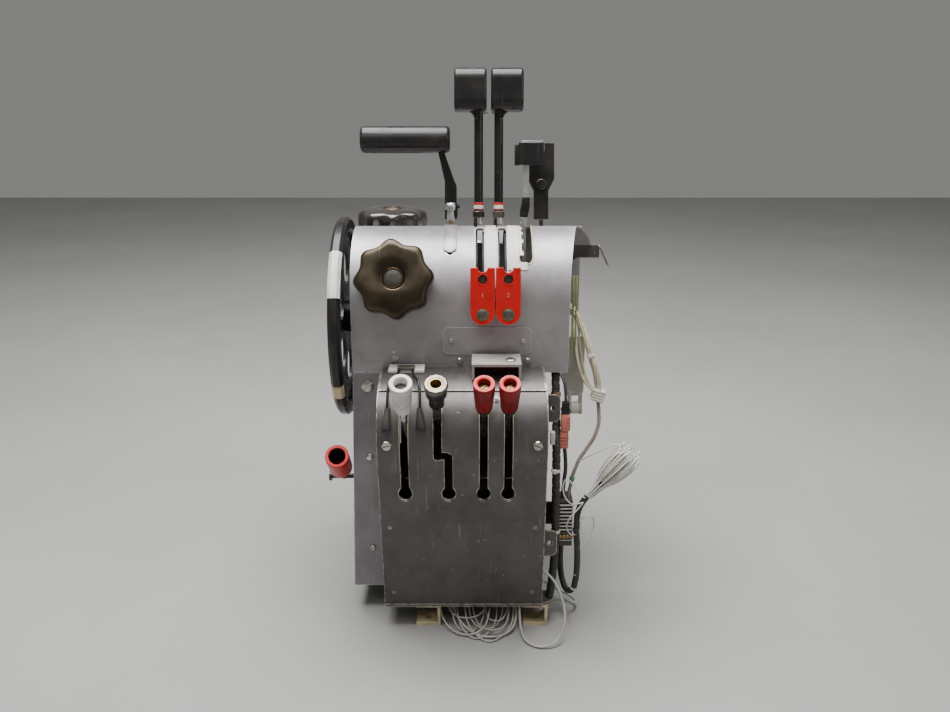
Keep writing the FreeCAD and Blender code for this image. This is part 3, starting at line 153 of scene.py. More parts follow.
def wornFinish(name, look):
    material = bpy.data.materials.new(name)
    material.use_nodes = True
    tree = material.node_tree
    shader = tree.nodes["Principled BSDF"]
    place = tree.nodes.new("ShaderNodeTexCoord").outputs["Object"]
    cloud = noise(tree, place, look.get("cloud", 25), 6)
    colour = mixColour(tree, spread(tree, cloud, 0.35, 0.65), look["base"], look["shade"])
    if "grime" in look:
        stain = noise(tree, place, wear["stain"], 8, 0.6)
        mask = spread(tree, stain, 0.5, 0.78, 0, look.get("grimeMost", 0.7))
        colour = mixColour(tree, mask, colour, look["grime"])
    bare = None
    if "scratch" in look:
        marks = []
        for turn in wear["scratchTurns"]:
            lines = noise(tree, stretch(tree, place, wear["scratch"], turn), 1.0, 3, 0.4)
            marks.append(spread(tree, lines, 0.70, 0.73, 0, look.get("scratchMost", 0.5)))
        bare = sums(tree, "MAXIMUM", *marks)
        chips = spread(tree, noise(tree, place, wear["chip"], 6), 0.70, 0.72)
        bare = sums(tree, "MAXIMUM", bare, sums(tree, "MULTIPLY", chips, look.get("chipMost", 0.5)))
    # bare colour on sharp edges: edge wear and a painted edge highlight
    if "edge" in look:
        torn = spread(tree, noise(tree, place, wear["torn"], 6), 0.36, 0.56)
        edgeWearAndShine = sums(tree, "MULTIPLY", edgeWearAndHighlight(tree, look["edge"]), torn)
        bare = edgeWearAndShine if bare is None else sums(tree, "MAXIMUM", bare, edgeWearAndShine)
    grain = noise(tree, place, look.get("grain", 900), 5)
    low, high = look["rough"]
    rough = spread(tree, noise(tree, place, wear["gloss"], 6), 0.3, 0.7, low, high)
    if bare is not None:
        colour = mixColour(tree, bare, colour, look.get("bare", (0.6, 0.58, 0.54)))
        if "metal" not in look and look.get("bareMetal", True):
            tree.links.new(sums(tree, "MULTIPLY", bare, 0.8), shader.inputs["Metallic"])
    tree.links.new(colour, shader.inputs["Base Color"])
    tree.links.new(rough, shader.inputs["Roughness"])
    if "metal" in look:
        shader.inputs["Metallic"].default_value = look["metal"]
    shader.inputs["Specular IOR Level"].default_value = look.get("gloss", 0.5)
    if "turned" in look:
        around = tree.nodes.new("ShaderNodeTangent")
        around.direction_type = "RADIAL"
        around.axis = look["turned"]
        tree.links.new(around.outputs["Tangent"], shader.inputs["Tangent"])
        shader.inputs["Anisotropic"].default_value = wear["turned"]
    if "coat" in look:
        shader.inputs["Coat Weight"].default_value = look["coat"]
        shader.inputs["Coat Roughness"].default_value = wear["coatRough"]
    values = {"Strength": look.get("bump", 0.15), "Distance": wear["bumpDepth"]}
    bump = node(tree, "Bump", values, {"Height": grain})
    tree.links.new(bump.outputs["Normal"], shader.inputs["Normal"])
    return material


# base and shade mix in clouds, grime lies in stains, and bare shows at scratches and chips, and at edges as
# wear and a painted edge highlight
finishes = {
    "coverPaint": {"base": (0.36, 0.345, 0.352), "shade": (0.31, 0.295, 0.30), "grime": (0.16, 0.13, 0.10),
                   "grimeMost": 0.3, "rough": (0.36, 0.5), "scratch": True, "scratchMost": 0.2,
                   "chipMost": 0.3, "edge": 1.6, "bare": (0.62, 0.60, 0.56), "bump": 0.2, "grain": 700,
                   "metal": 0.45},
    # the cover's grey made much darker for the drum and lower panel: painted shade
    "drumShadedPaint": {"base": (0.105, 0.095, 0.092), "shade": (0.078, 0.07, 0.067),
                  "grime": (0.035, 0.026, 0.018), "grimeMost": 0.4, "rough": (0.34, 0.5), "scratch": True,
                  "scratchMost": 0.14, "chipMost": 0.3, "edge": 1.6, "bare": (0.66, 0.60, 0.48),
                  "bump": 0.25, "grain": 600, "metal": 0.4},
    "olivePrimer": {"base": (0.12, 0.115, 0.09), "shade": (0.08, 0.076, 0.06), "grime": (0.03, 0.025, 0.02),
                    "rough": (0.5, 0.75), "scratch": True, "edge": 1.2, "bare": (0.5, 0.48, 0.42)},
    "creamPaint": {"base": (0.70, 0.60, 0.38), "shade": (0.52, 0.43, 0.26), "grime": (0.12, 0.085, 0.05),
                   "grimeMost": 0.8, "rough": (0.45, 0.7), "scratch": True, "edge": 2.2,
                   "bare": (0.30, 0.25, 0.19), "bareMetal": False, "chipMost": 0.8},
    "labelWhite": {"base": (0.72, 0.71, 0.68), "shade": (0.60, 0.585, 0.55), "grime": (0.32, 0.27, 0.20),
                   "rough": (0.3, 0.5), "edge": 0.8, "bare": (0.42, 0.40, 0.36), "bareMetal": False},
    "bareAlloy": {"base": (0.66, 0.66, 0.66), "shade": (0.52, 0.51, 0.49), "grime": (0.30, 0.26, 0.20),
                  "grimeMost": 0.6, "metal": 1.0, "rough": (0.28, 0.5), "grain": 1200},
    "brightSteel": {"base": (0.62, 0.60, 0.57), "shade": (0.46, 0.43, 0.38), "grime": (0.20, 0.15, 0.10),
                    "metal": 1.0, "rough": (0.2, 0.42), "grain": 900},
    "agedBrass": {"base": (0.50, 0.36, 0.16), "shade": (0.33, 0.22, 0.09), "grime": (0.10, 0.06, 0.03),
                  "metal": 1.0, "rough": (0.25, 0.5)},
    "blackPlastic": {"base": (0.013, 0.013, 0.014), "shade": (0.022, 0.020, 0.018),
                     "grime": (0.055, 0.042, 0.028), "grimeMost": 0.45, "rough": (0.18, 0.34), "gloss": 0.3,
                     "scratch": True, "scratchMost": 0.2, "bare": (0.16, 0.15, 0.14), "bareMetal": False,
                     "chipMost": 0.2, "bump": 0.12},
    # the bronze tint of this metal is a painted warm reflection; the turned grain and gloss are the knob's
    # own
    "knobPaintedWarmSheen": {"base": (0.085, 0.065, 0.04), "shade": (0.045, 0.035, 0.023),
                    "grime": (0.03, 0.024, 0.016), "grimeMost": 0.7, "rough": (0.26, 0.40), "scratch": True,
                    "bare": (0.2, 0.17, 0.12), "bareMetal": False, "chipMost": 0.3, "bump": 0.12,
                    "metal": 0.85, "turned": "Y"},
    "knobBlack": {"base": (0.014, 0.012, 0.011), "shade": (0.03, 0.024, 0.018),
                  "grime": (0.06, 0.045, 0.03), "rough": (0.12, 0.28), "scratch": True,
                  "bare": (0.2, 0.17, 0.12), "bareMetal": False, "chipMost": 0.3, "bump": 0.12,
                  "coat": 0.6},
    "dullSteel": {"base": (0.26, 0.235, 0.20), "shade": (0.16, 0.14, 0.115), "grime": (0.06, 0.045, 0.03),
                  "metal": 1.0, "rough": (0.3, 0.5), "edge": 0.8, "bare": (0.5, 0.46, 0.4)},
    "blackEnamel": {"base": (0.011, 0.010, 0.010), "shade": (0.018, 0.016, 0.014),
                    "grime": (0.05, 0.036, 0.024), "grimeMost": 0.3, "rough": (0.16, 0.34), "scratch": True,
                    "scratchMost": 0.15, "edge": 0.6, "bare": (0.36, 0.32, 0.26), "chipMost": 0.2,
                    "bump": 0.12, "gloss": 0.3},
    "redEnamel": {"base": (0.58, 0.010, 0.009), "shade": (0.46, 0.008, 0.008), "grime": (0.16, 0.012, 0.01),
                  "grimeMost": 0.4, "rough": (0.22, 0.4), "scratch": True, "scratchMost": 0.2, "edge": 0.4,
                  "bare": (0.5, 0.13, 0.11), "bareMetal": False, "gloss": 0.35, "bump": 0.1},
    "deepRed": {"base": (0.25, 0.008, 0.009), "shade": (0.17, 0.006, 0.007), "grime": (0.07, 0.008, 0.008),
                "rough": (0.25, 0.45), "scratch": True, "scratchMost": 0.2, "edge": 0.4,
                "bare": (0.42, 0.12, 0.1), "bareMetal": False, "gloss": 0.25},
    "whiteEnamel": {"base": (0.74, 0.73, 0.70), "shade": (0.62, 0.60, 0.55), "grime": (0.26, 0.21, 0.15),
                    "grimeMost": 0.6, "rough": (0.3, 0.5), "scratch": True, "edge": 0.9,
                    "bare": (0.3, 0.27, 0.22), "bareMetal": False},
    "blackSleeve": {"base": (0.022, 0.021, 0.02), "shade": (0.035, 0.033, 0.03), "rough": (0.45, 0.7),
                    "grime": (0.07, 0.06, 0.045), "grimeMost": 0.5},
    "greyWire": {"base": (0.42, 0.41, 0.37), "shade": (0.33, 0.31, 0.27), "grime": (0.16, 0.13, 0.10),
                 "rough": (0.4, 0.6)},
    "whiteWire": {"base": (0.72, 0.71, 0.68), "shade": (0.58, 0.56, 0.50), "grime": (0.28, 0.24, 0.18),
                  "rough": (0.35, 0.6)},
    "creamWire": {"base": (0.66, 0.60, 0.42), "shade": (0.52, 0.47, 0.31), "grime": (0.24, 0.2, 0.13),
                  "rough": (0.35, 0.6)},
    "paleGreenWire": {"base": (0.42, 0.48, 0.42), "shade": (0.34, 0.40, 0.36), "grime": (0.18, 0.18, 0.14),
                      "rough": (0.3, 0.5)},
    "brownWire": {"base": (0.20, 0.15, 0.12), "shade": (0.27, 0.23, 0.20), "rough": (0.4, 0.6)},
    "redWire": {"base": (0.5, 0.05, 0.04), "shade": (0.38, 0.035, 0.03), "rough": (0.35, 0.55)},
    "blueWire": {"base": (0.08, 0.15, 0.38), "shade": (0.06, 0.11, 0.28), "rough": (0.35, 0.55)},
    "salmonPlastic": {"base": (0.70, 0.24, 0.17), "shade": (0.60, 0.18, 0.13), "grime": (0.28, 0.09, 0.06),
                      "rough": (0.35, 0.55)},
    "creamPlastic": {"base": (0.74, 0.72, 0.62), "shade": (0.64, 0.61, 0.50), "grime": (0.3, 0.26, 0.18),
                     "rough": (0.3, 0.5)},
    "phenolicBrown": {"base": (0.045, 0.038, 0.03), "shade": (0.07, 0.055, 0.04), "rough": (0.35, 0.6),
                      "edge": 0.6, "bare": (0.2, 0.18, 0.15), "bareMetal": False},
    "maroonPaint": {"base": (0.16, 0.018, 0.02), "shade": (0.10, 0.012, 0.014), "rough": (0.4, 0.6)},
    "mattBlack": {"base": (0.012, 0.012, 0.012), "shade": (0.02, 0.019, 0.018), "rough": (0.55, 0.8)},
    "greenBand": {"base": (0.10, 0.30, 0.14), "shade": (0.07, 0.22, 0.10), "rough": (0.4, 0.6)},
    "satinGrey": {"base": (0.34, 0.33, 0.325), "shade": (0.28, 0.27, 0.265), "grime": (0.2, 0.17, 0.13),
                  "grimeMost": 0.4, "rough": (0.25, 0.4), "metal": 0.3},
    "zincPlate": {"base": (0.52, 0.49, 0.45), "shade": (0.42, 0.395, 0.355), "grime": (0.2, 0.16, 0.11),
                  "grimeMost": 0.5, "rough": (0.35, 0.55), "scratch": True, "edge": 0.8,
                  "bare": (0.7, 0.68, 0.64)},
    "warmPutty": {"base": (0.34, 0.315, 0.295), "shade": (0.27, 0.245, 0.22), "grime": (0.16, 0.12, 0.08),
                  "grimeMost": 0.6, "rough": (0.4, 0.6), "scratch": True, "edge": 1.0,
                  "bare": (0.25, 0.2, 0.15), "bareMetal": False},
    "palePink": {"base": (0.62, 0.30, 0.28), "shade": (0.5, 0.2, 0.19), "rough": (0.4, 0.6)},
    "darkBronze": {"base": (0.16, 0.11, 0.065), "shade": (0.09, 0.062, 0.04), "metal": 1.0,
                   "rough": (0.3, 0.5)},
    "roughBlack": {"base": (0.02, 0.018, 0.016), "shade": (0.045, 0.036, 0.026),
                   "grime": (0.10, 0.075, 0.05), "grimeMost": 0.7, "rough": (0.45, 0.7), "bump": 0.9,
                   "grain": 500},
    "yellowGreen": {"base": (0.36, 0.37, 0.14), "shade": (0.27, 0.28, 0.10), "grime": (0.12, 0.10, 0.05),
                    "rough": (0.45, 0.65)},
}
finishes["sidePaint"] = dict(finishes["coverPaint"], base=(0.25, 0.235, 0.25), shade=(0.2, 0.187, 0.197))
paint = {name: wornFinish(name, look) for name, look in finishes.items()}


def addFloor():
    look = {"base": (0.31, 0.305, 0.295), "shade": (0.285, 0.28, 0.27), "rough": (0.6, 0.8), "cloud": 3}
    mesh = bpy.data.meshes.new("benchSheet")
    bm = bmesh.new()
    bmesh.ops.create_grid(bm, x_segments=2, y_segments=2, size=3)
    bm.to_mesh(mesh)
    bm.free()
    floor = placed("benchSheet", mesh)
    mesh.materials.append(wornFinish("benchPaper", look))


addCamera()
addLights()
addFloor()
print("camera, light and floor are set")


# each free cord: its width and its route in mm, from where it leaves the object
cords = {
    "main_harness": {"wide": 8.5, "finish": "blackSleeve", "stiff": "medium", "route": [
        (73, -88, 262.8), (74, -97, 222), (74, -113, 182), (74, -118, 140), (74.5, -118, 96),
        (73.5, -118, 56), (70, -118, 27.8)]},
    "loom_loop": {"wide": 6.5, "finish": "blackSleeve", "route": [
        (106, -119, 141), (96.5, -119, 130.3), (95, -121, 106), (97, -123, 80), (97, -122, 54),
        (95, -114, 33), (89, -100, 22), (84, -85, 34), (82.5, -86, 60), (83, -92, 81.5)]},
    "plug_wires": {"wide": 6, "finish": "creamWire", "route": [
        (82, -40, 322), (94, -50, 316), (103, -64, 296), (110, -72, 272), (116, -75, 254),
        (118, -75, 239)]},
    "plug_lead": {"wide": 3.2, "finish": "brownWire", "route": [
        (118, -75, 226), (121, -80, 206), (113, -88, 188), (99, -95, 172), (91, -100, 153),
        (88, -102, 132)]},
    "red_lead": {"wide": 4, "finish": "blackSleeve", "route": [
        (82.5, -106, 187), (85, -104, 168), (83, -103, 150), (82, -104, 132)]},
    "floor_wire": {"wide": 2.4, "finish": "greyWire", "route": [
        (61.4, -131, 64), (70, -134, 60), (79, -141, 45), (84, -151, 28), (81, -162, 13), (71, -171, 4),
        (57, -173, 1.8), (45, -165, 2), (40, -152, 5), (39, -139, 9.5), (38.5, -130, 17),
        (38.5, -128, 24)]},
    "base_wire": {"wide": 2.4, "finish": "greyWire", "route": [
        (-30, -112, 24), (-30, -118, 14), (-22, -134, 6), (-6, -152, 2), (14, -156, 2.2),
        (30, -146, 3.5),
        (36, -130, 10), (34, -118, 17), (32, -112, 24)]},
}


def wires(name, routes, wide, finish, smooth=(3, 12)):  # smooth lines through the points of each route
    curve = bpy.data.curves.new(name, "CURVE")
    curve.dimensions = "3D"
    curve.bevel_depth = wide * mm / 2
    curve.bevel_resolution, curve.resolution_u = smooth
    curve.use_fill_caps = True
    for route in routes:
        line = curve.splines.new("NURBS")
        line.points.add(len(route) - 1)
        for point, place in zip(line.points, route):
            point.co = (*(value * mm for value in place), 1)
        line.order_u = 3
        line.use_endpoint_u = True
    obj = placed(name, curve)
    curve.materials.append(paint[finish])
    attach(obj, "frame")
    return obj


def wireCurve(name, route, wide, finish):
    return wires(name, [route], wide, finish, (4, 10))


def bridged(rows, looped=False):  # a skin over rows of points, closed by caps or back on its first row
    bm = bmesh.new()
    rings = [[bm.verts.new(point) for point in row] for row in rows]
    for low, high in zip(rings, rings[1:] + (rings[:1] if looped else [])):
        for i in range(len(low)):
            j = (i + 1) % len(low)
            bm.faces.new((low[i], low[j], high[j], high[i]))
    if not looped:
        bm.faces.new(rings[0])
        bm.faces.new(rings[-1])
    bmesh.ops.recalc_face_normals(bm, faces=bm.faces)
    return bm


def lathe(profile, steps=48, closed=False):  # a profile of radius and height, turned about Z
    bm = bmesh.new()
    turns = [math.tau * i / steps for i in range(steps)]
    rings = []
    for radius, height in profile:
        around = turns[:1] if radius == 0 else turns
        rings.append([bm.verts.new((radius * math.cos(turn), radius * math.sin(turn), height))
                      for turn in around])
    pairs = list(zip(rings, rings[1:])) + ([(rings[-1], rings[0])] if closed else [])
    for low, high in pairs:
        for i in range(steps):
            j = (i + 1) % steps
            corners = [low[i % len(low)], low[j % len(low)], high[j % len(high)], high[i % len(high)]]
            corners = list(dict.fromkeys(corners))
            if len(corners) > 2:
                bm.faces.new(corners)
    bmesh.ops.recalc_face_normals(bm, faces=bm.faces)
    return bm


def prism(outline, thick):  # an outline in X and Y, thick along Z
    bm = bmesh.new()
    face = bm.faces.new([bm.verts.new((across, up, 0)) for across, up in outline])
    grown = bmesh.ops.extrude_face_region(bm, geom=[face])
    upper = [item for item in grown["geom"] if isinstance(item, bmesh.types.BMVert)]
    bmesh.ops.translate(bm, verts=upper, vec=(0, 0, thick))
    bmesh.ops.recalc_face_normals(bm, faces=bm.faces)
    return bm


def soften(bm, width, steps=2):  # a small round on every sharp edge
    sharp = [e for e in bm.edges if len(e.link_faces) == 2 and e.calc_face_angle(0) > math.radians(30)]
    bmesh.ops.bevel(bm, geom=sharp, offset=width, segments=steps, profile=0.5, affect="EDGES")
    return bm


def block(low, high, edge=0.0):
    corners = [(low[0], low[1]), (high[0], low[1]), (high[0], high[1]), (low[0], high[1])]
    bm = prism(corners, high[2] - low[2])
    bmesh.ops.translate(bm, verts=bm.verts, vec=(0, 0, low[2]))
    return soften(bm, edge) if edge else bm


def moved(bm, matrix):
    bmesh.ops.transform(bm, matrix=matrix, verts=bm.verts)
    return bm


def joined(*parts):
    whole = bmesh.new()
    for part in parts:
        mesh = bpy.data.meshes.new("scrap")
        part.to_mesh(mesh)
        whole.from_mesh(mesh)
        bpy.data.meshes.remove(mesh)
        part.free()
    return whole


def meshOf(obj):  # what a curve, a text or a modifier makes, as a mesh
    graph = bpy.context.evaluated_depsgraph_get()
    return bpy.data.meshes.new_from_object(obj.evaluated_get(graph))


def dropMesh(mesh):  # the same mesh for editing, with the data block removed
    bm = bmesh.new()
    bm.from_mesh(mesh)
    bpy.data.meshes.remove(mesh)
    return bm


def carve(bm, cutter):
    objects = []
    for part in (bm, cutter):
        mesh = bpy.data.meshes.new("scrap")
        part.to_mesh(mesh)
        part.free()
        objects.append(placed("scrap", mesh))
    bite = objects[0].modifiers.new("bite", "BOOLEAN")
    bite.object = objects[1]
    bite.operation = "DIFFERENCE"
    bite.solver = "EXACT"
    whole = dropMesh(meshOf(objects[0]))
    for obj in objects:
        mesh = obj.data
        bpy.data.objects.remove(obj)
        bpy.data.meshes.remove(mesh)
    return whole


def aimed(at, normal, spin=0.0):
    turn = Vector(normal).to_track_quat("Z", "Y").to_matrix().to_4x4()
    return Matrix.Translation(at) @ turn @ Matrix.Rotation(math.radians(spin), 4, "Z")


def piece(name, bm, finish, body="frame", where=None, smooth=40):
    if where is not None:
        moved(bm, where)
    moved(bm, Matrix.Scale(mm, 4))
    mesh = bpy.data.meshes.new(name)
    bm.to_mesh(mesh)
    bm.free()
    obj = placed(name, mesh)
    mesh.materials.append(paint[finish])
    mesh.shade_smooth()
    mesh.set_sharp_from_angle(angle=math.radians(smooth))
    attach(obj, body)
    return obj


def turnAbout(axis, degrees):
    return Matrix.Rotation(math.radians(degrees), 4, axis)


def shift(x, y, z):
    return Matrix.Translation((x, y, z))


def coated(name, bm, finish):  # a piece laid on the solid, made as any other piece with its finish
    return piece(name, bm, finish)


def riding(body, where):  # adds pieces that ride on one body and are named after it
    def add(part, bm, finish, at=None, smooth=40):
        return piece(f"{body}_{part}", bm, finish, body, where if at is None else where @ at, smooth)

    return add


def onLever(x, shaft, rest):  # a lever that stands up from its shaft and leans by its angle of rest
    return shift(x, shaft["y"], shaft["z"]) @ turnAbout("X", rest)


def onArc(curve, angle, lift=0.0):  # Y and Z on the drum or the arch, by the angle up from the front
    reach, turn = curve["radius"] + lift, math.radians(angle)
    return curve["y"] - reach * math.cos(turn), curve["z"] + reach * math.sin(turn)


def bentStrip(curve, x1, x2, start, stop, low, high, steps=24):  # a strip bent round an arc
    rows = []
    for i in range(steps + 1):
        angle = start + (stop - start) * i / steps
        (y1, z1), (y2, z2) = onArc(curve, angle, low), onArc(curve, angle, high)
        rows.append([(x1, y1, z1), (x2, y1, z1), (x2, y2, z2), (x1, y2, z2)])
    return bridged(rows)


def slotRim(curve, gate, rim, low, high, steps=20, cap=8):  # a thin raised rim round an arc slot
    reach, x = curve["radius"], gate["x"]
    near, far = (math.radians(gate[key]) * reach for key in ("start", "stop"))

    def ring(out):  # one side, the far end's half circle, the other side, the near end's
        half = gate["wide"] / 2 + out
        sides = [(far - near) * i / steps for i in range(steps + 1)]
        turns = [math.pi * i / cap for i in range(1, cap)]
        return ([(x + half, near + along) for along in sides]
                + [(x + half * math.cos(turn), far + half * math.sin(turn)) for turn in turns]
                + [(x - half, far - along) for along in sides]
                + [(x - half * math.cos(turn), near - half * math.sin(turn)) for turn in turns])

    rows = [[(across, *onArc(curve, math.degrees(along / reach), lift)) for across, along in ring(out)]
            for out, lift in ((0, low), (0, high), (rim, high), (rim, low))]
    return bridged(rows, looped=True)


def rod(radius, low, high, steps):
    return lathe([(0, low), (radius, low), (radius, high), (0, high)], steps)


def slottedHead(radius, tall, slot=None, dome=0.35):  # a screw head with a sawn slot, on z = 0
    slot = slot or radius * 0.28
    head = lathe([(0, 0), (radius, 0), (radius, tall * (1 - dome)), (radius * 0.82, tall * 0.93),
                  (0, tall)], 32)
    reach = radius * 1.2
    return carve(head, block((-reach, -slot / 2, tall * 0.45), (reach, slot / 2, tall * 2)))


def roundHead(radius, tall):
    return lathe([(0, 0), (radius, 0), (radius * 0.93, tall * 0.55), (radius * 0.6, tall * 0.9),
                  (0, tall)], 24)


def numberPlate(text, size, thick):
    curve = bpy.data.curves.new("figure", "FONT")
    curve.body = text
    curve.size = size
    curve.extrude = thick / 2
    curve.align_x = "CENTER"
    curve.align_y = "CENTER"
    obj = placed("figure", curve)
    bm = dropMesh(meshOf(obj))
    bpy.data.objects.remove(obj)
    bpy.data.curves.remove(curve)
    return bm


def centreLine(obj):  # the smooth line that a cord's spline makes, as points in mm
    curve = obj.data.copy()
    curve.bevel_depth = 0
    twin = placed("scrap", curve)
    mesh = meshOf(twin)
    points = [v.co / mm for v in mesh.vertices]
    bpy.data.objects.remove(twin)
    bpy.data.curves.remove(curve)
    bpy.data.meshes.remove(mesh)
    return points


def evenly(points, gap):
    # The same line with points a fixed distance apart, and the distance of each from its start.
    line, walked = [(0.0, points[0])], 0.0
    for a, b in zip(points, points[1:]):
        long = (b - a).length
        while line[-1][0] + gap <= walked + long:
            at = line[-1][0] + gap
            line.append((at, a.lerp(b, (at - walked) / long)))
        walked += long
    line.append((walked, points[-1]))
    return line


def frames(line):
    # A steady pair of cross directions at each point of a line.
    result = []
    side = None
    for i, (at, point) in enumerate(line):
        ahead = line[min(i + 1, len(line) - 1)][1] - line[max(i - 1, 0)][1]
        ahead.normalize()
        if side is None:
            side = ahead.orthogonal()
        side = (side - ahead * side.dot(ahead)).normalized()
        result.append((at, point, side, ahead.cross(side)))
    return result


def sweep(points, radiusAt, gap=0.8, steps=14):
    # A closed tube along a line, whose radius may change with distance and angle.
    turns = [math.tau * i / steps for i in range(steps)]
    rows = []
    for at, point, side, up in frames(evenly(points, gap)):
        rows.append([point + (side * math.cos(turn) + up * math.sin(turn)) * radiusAt(at, turn)
                     for turn in turns])
    return bridged(rows)


def ribbed(radius, pitch, depth):
    return lambda at, turn: radius - depth * (0.5 + 0.5 * math.cos(math.tau * at / pitch)) ** 3


def spiral(radius, pitch, depth):
    return lambda at, turn: radius - depth * max(0.0, math.cos(math.tau * at / pitch + turn)) ** 6


def looseTube(route, wide, finish, steps=14):  # a plain tube along a smooth line, as a mesh
    guide = wireCurve("tube_guide", route, wide, finish)
    points = centreLine(guide)
    bpy.data.objects.remove(guide)
    return sweep(points, lambda at, turn: wide / 2, 1.5, steps)


def strands(name, points, reach, wide, count, finish, turns):  # thin wires side by side round a line
    line = frames(evenly(points, 4))
    full = line[-1][0]
    routes = []
    for k in range(count):
        route = []
        for at, point, side, up in line:
            turn = math.tau * (k / count + turns * at / full)
            route.append(point + (side * math.cos(turn) + up * math.sin(turn)) * reach)
        routes.append(route)
    return wires(name, routes, wide, finish)


def tieRound(name, points, where, radius, finish, wide=2.6, head=True, turn=0.0):
    # A cable tie round a bundle, at a share of its length, with its locking head.
    line = frames(evenly(points, 1))
    at, point, side, up = line[int(where * (len(line) - 1))]
    half = wide / 2
    band = lathe([(radius, -half), (radius + 0.5, -half), (radius + 0.9, 0), (radius + 0.5, half),
                  (radius, half)], 28, True)
    if head:
        lock = block((-2.0, -1.7, -wide * 0.75), (2.0, 1.7, wide * 0.75), 0.4)
        band = joined(band, moved(lock, Matrix.Rotation(turn, 4, "Z") @ shift(0, radius + 1.6, 0)))
    return piece(name, band, finish, where=aimed(point, side.cross(up)))


def declare(obj, points):
    path = [tuple(p * mm) for _, p in evenly(points, 2)] if obj.type == "MESH" else None


lines = {}  # each cord's centre line, in mm


def addCords():
    for name, cord in cords.items():
        guide = wireCurve(name + "_run", cord["route"], cord["wide"], cord["finish"])
        points = lines[name] = centreLine(guide)
        if "skin" in cord:
            bpy.data.objects.remove(guide)
            guide = piece(name + "_sleeve", sweep(points, cord["skin"]), cord["finish"], smooth=60)
        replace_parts(guide, name)
        cord["piece"] = guide


cords["main_harness"]["skin"] = spiral(4.25, 9, 0.7)
cords["loom_loop"]["skin"] = ribbed(3.25, 2.6, 0.45)
addCords()
print("cords are run")


nodeFinish = {
    "sidePaint": ["side_box"],
    "coverPaint": ["upper_cover", "switch_plate", "end_plate_left", "rear_panel"],
    # the lower panel, drum strip, lugs and base plate take the darker grey with painted shade
    "drumShadedPaint": ["lower_panel", "panel_top_strip", "console_lugs", "base_plate"],
    "olivePrimer": ["bearing_plate", "frame_plate_left", "frame_plate_right", "mid_shelf", "arch_gusset"],
    "creamPaint": ["foot_front_left", "foot_front_right", "foot_rear_left", "foot_rear_right"],
    "phenolicBrown": ["shaft_spacers", "terminal_block"],
    "bareAlloy": ["flap_lever"],
    "zincPlate": ["side_plate"],
    "warmPutty": ["cock_guard"],
    "brightSteel": ["upper_shaft", "lower_shaft", "lp_cock_1_arm", "lp_cock_2_arm"],
    "creamPlastic": ["clevis_roller"],
    "blackPlastic": ["throttle_1_grip", "throttle_2_grip", "airbrake_grip", "flap_knob", "trim_wheel"],
    "blackEnamel": ["airbrake_lever", "wheel_brake_lever", "trim_bushings"],
    "redEnamel": ["fuel_cock_1", "fuel_cock_2"],
}


def dressNodes():
    for finish, names in nodeFinish.items():
        for name in names:
            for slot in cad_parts[name].material_slots:
                slot.material = paint[finish]


dressNodes()
print("carried-over pieces are painted")


# slots by their X, width and angles from and to, on the arch and on the drum
gates = {
    "fuel1": {"x": -2.2, "wide": 8.5, "start": 2, "stop": 80},
    "fuel2": {"x": 19.8, "wide": 8.5, "start": 2, "stop": 80},
    "airbrake": {"x": -31.5, "wide": 6.5, "start": 47, "stop": 103},
    "flap": {"x": 42.5, "wide": 13, "start": 41, "stop": 103},
}
drumGates = {
    "white": {"x": -73.5, "wide": 7.6, "start": -52, "stop": 55},
    "lp1": {"x": 1.2, "wide": 7.6, "start": -52, "stop": 55},
    "lp2": {"x": 24.5, "wide": 7.6, "start": -52, "stop": 55},
}


shutter = {"half": 6.6, "start": 46, "stop": 98, "low": 0.45, "high": 2.0}
slotShadeStrips = ((-9, -4.6), (0.2, 17.4), (22.2, 27))  # from and to in X, beside the cocks' slots, of matt black strips under the cover that are painted shade in the slots
flapStops = {"angles": (46, 60, 72, 84, 98), "half": 2.2, "low": -1.6, "high": 0.4}


def curvedPad(curve, x, half, start, stop, low, high, steps=30):
    # A plate on an arc, round at its near end, with a softly crowned top.
    crown = ((-1, low), (-1, high - 0.8), (-0.8, high - 0.3), (-0.3, high), (0.3, high),
             (0.8, high - 0.3), (1, high - 0.8), (1, low))
    reach = curve["radius"]
    rows = []
    for i in range(steps + 1):
        along = math.radians(stop - start) * reach * (i / steps) ** 1.6
        w = half if along > half else math.sqrt(max(0.02, half * half - (half - along) ** 2))
        angle = start + math.degrees(along / reach)
        rows.append([(x + w * share, *onArc(curve, angle, lift)) for share, lift in crown])
    return bridged(rows)


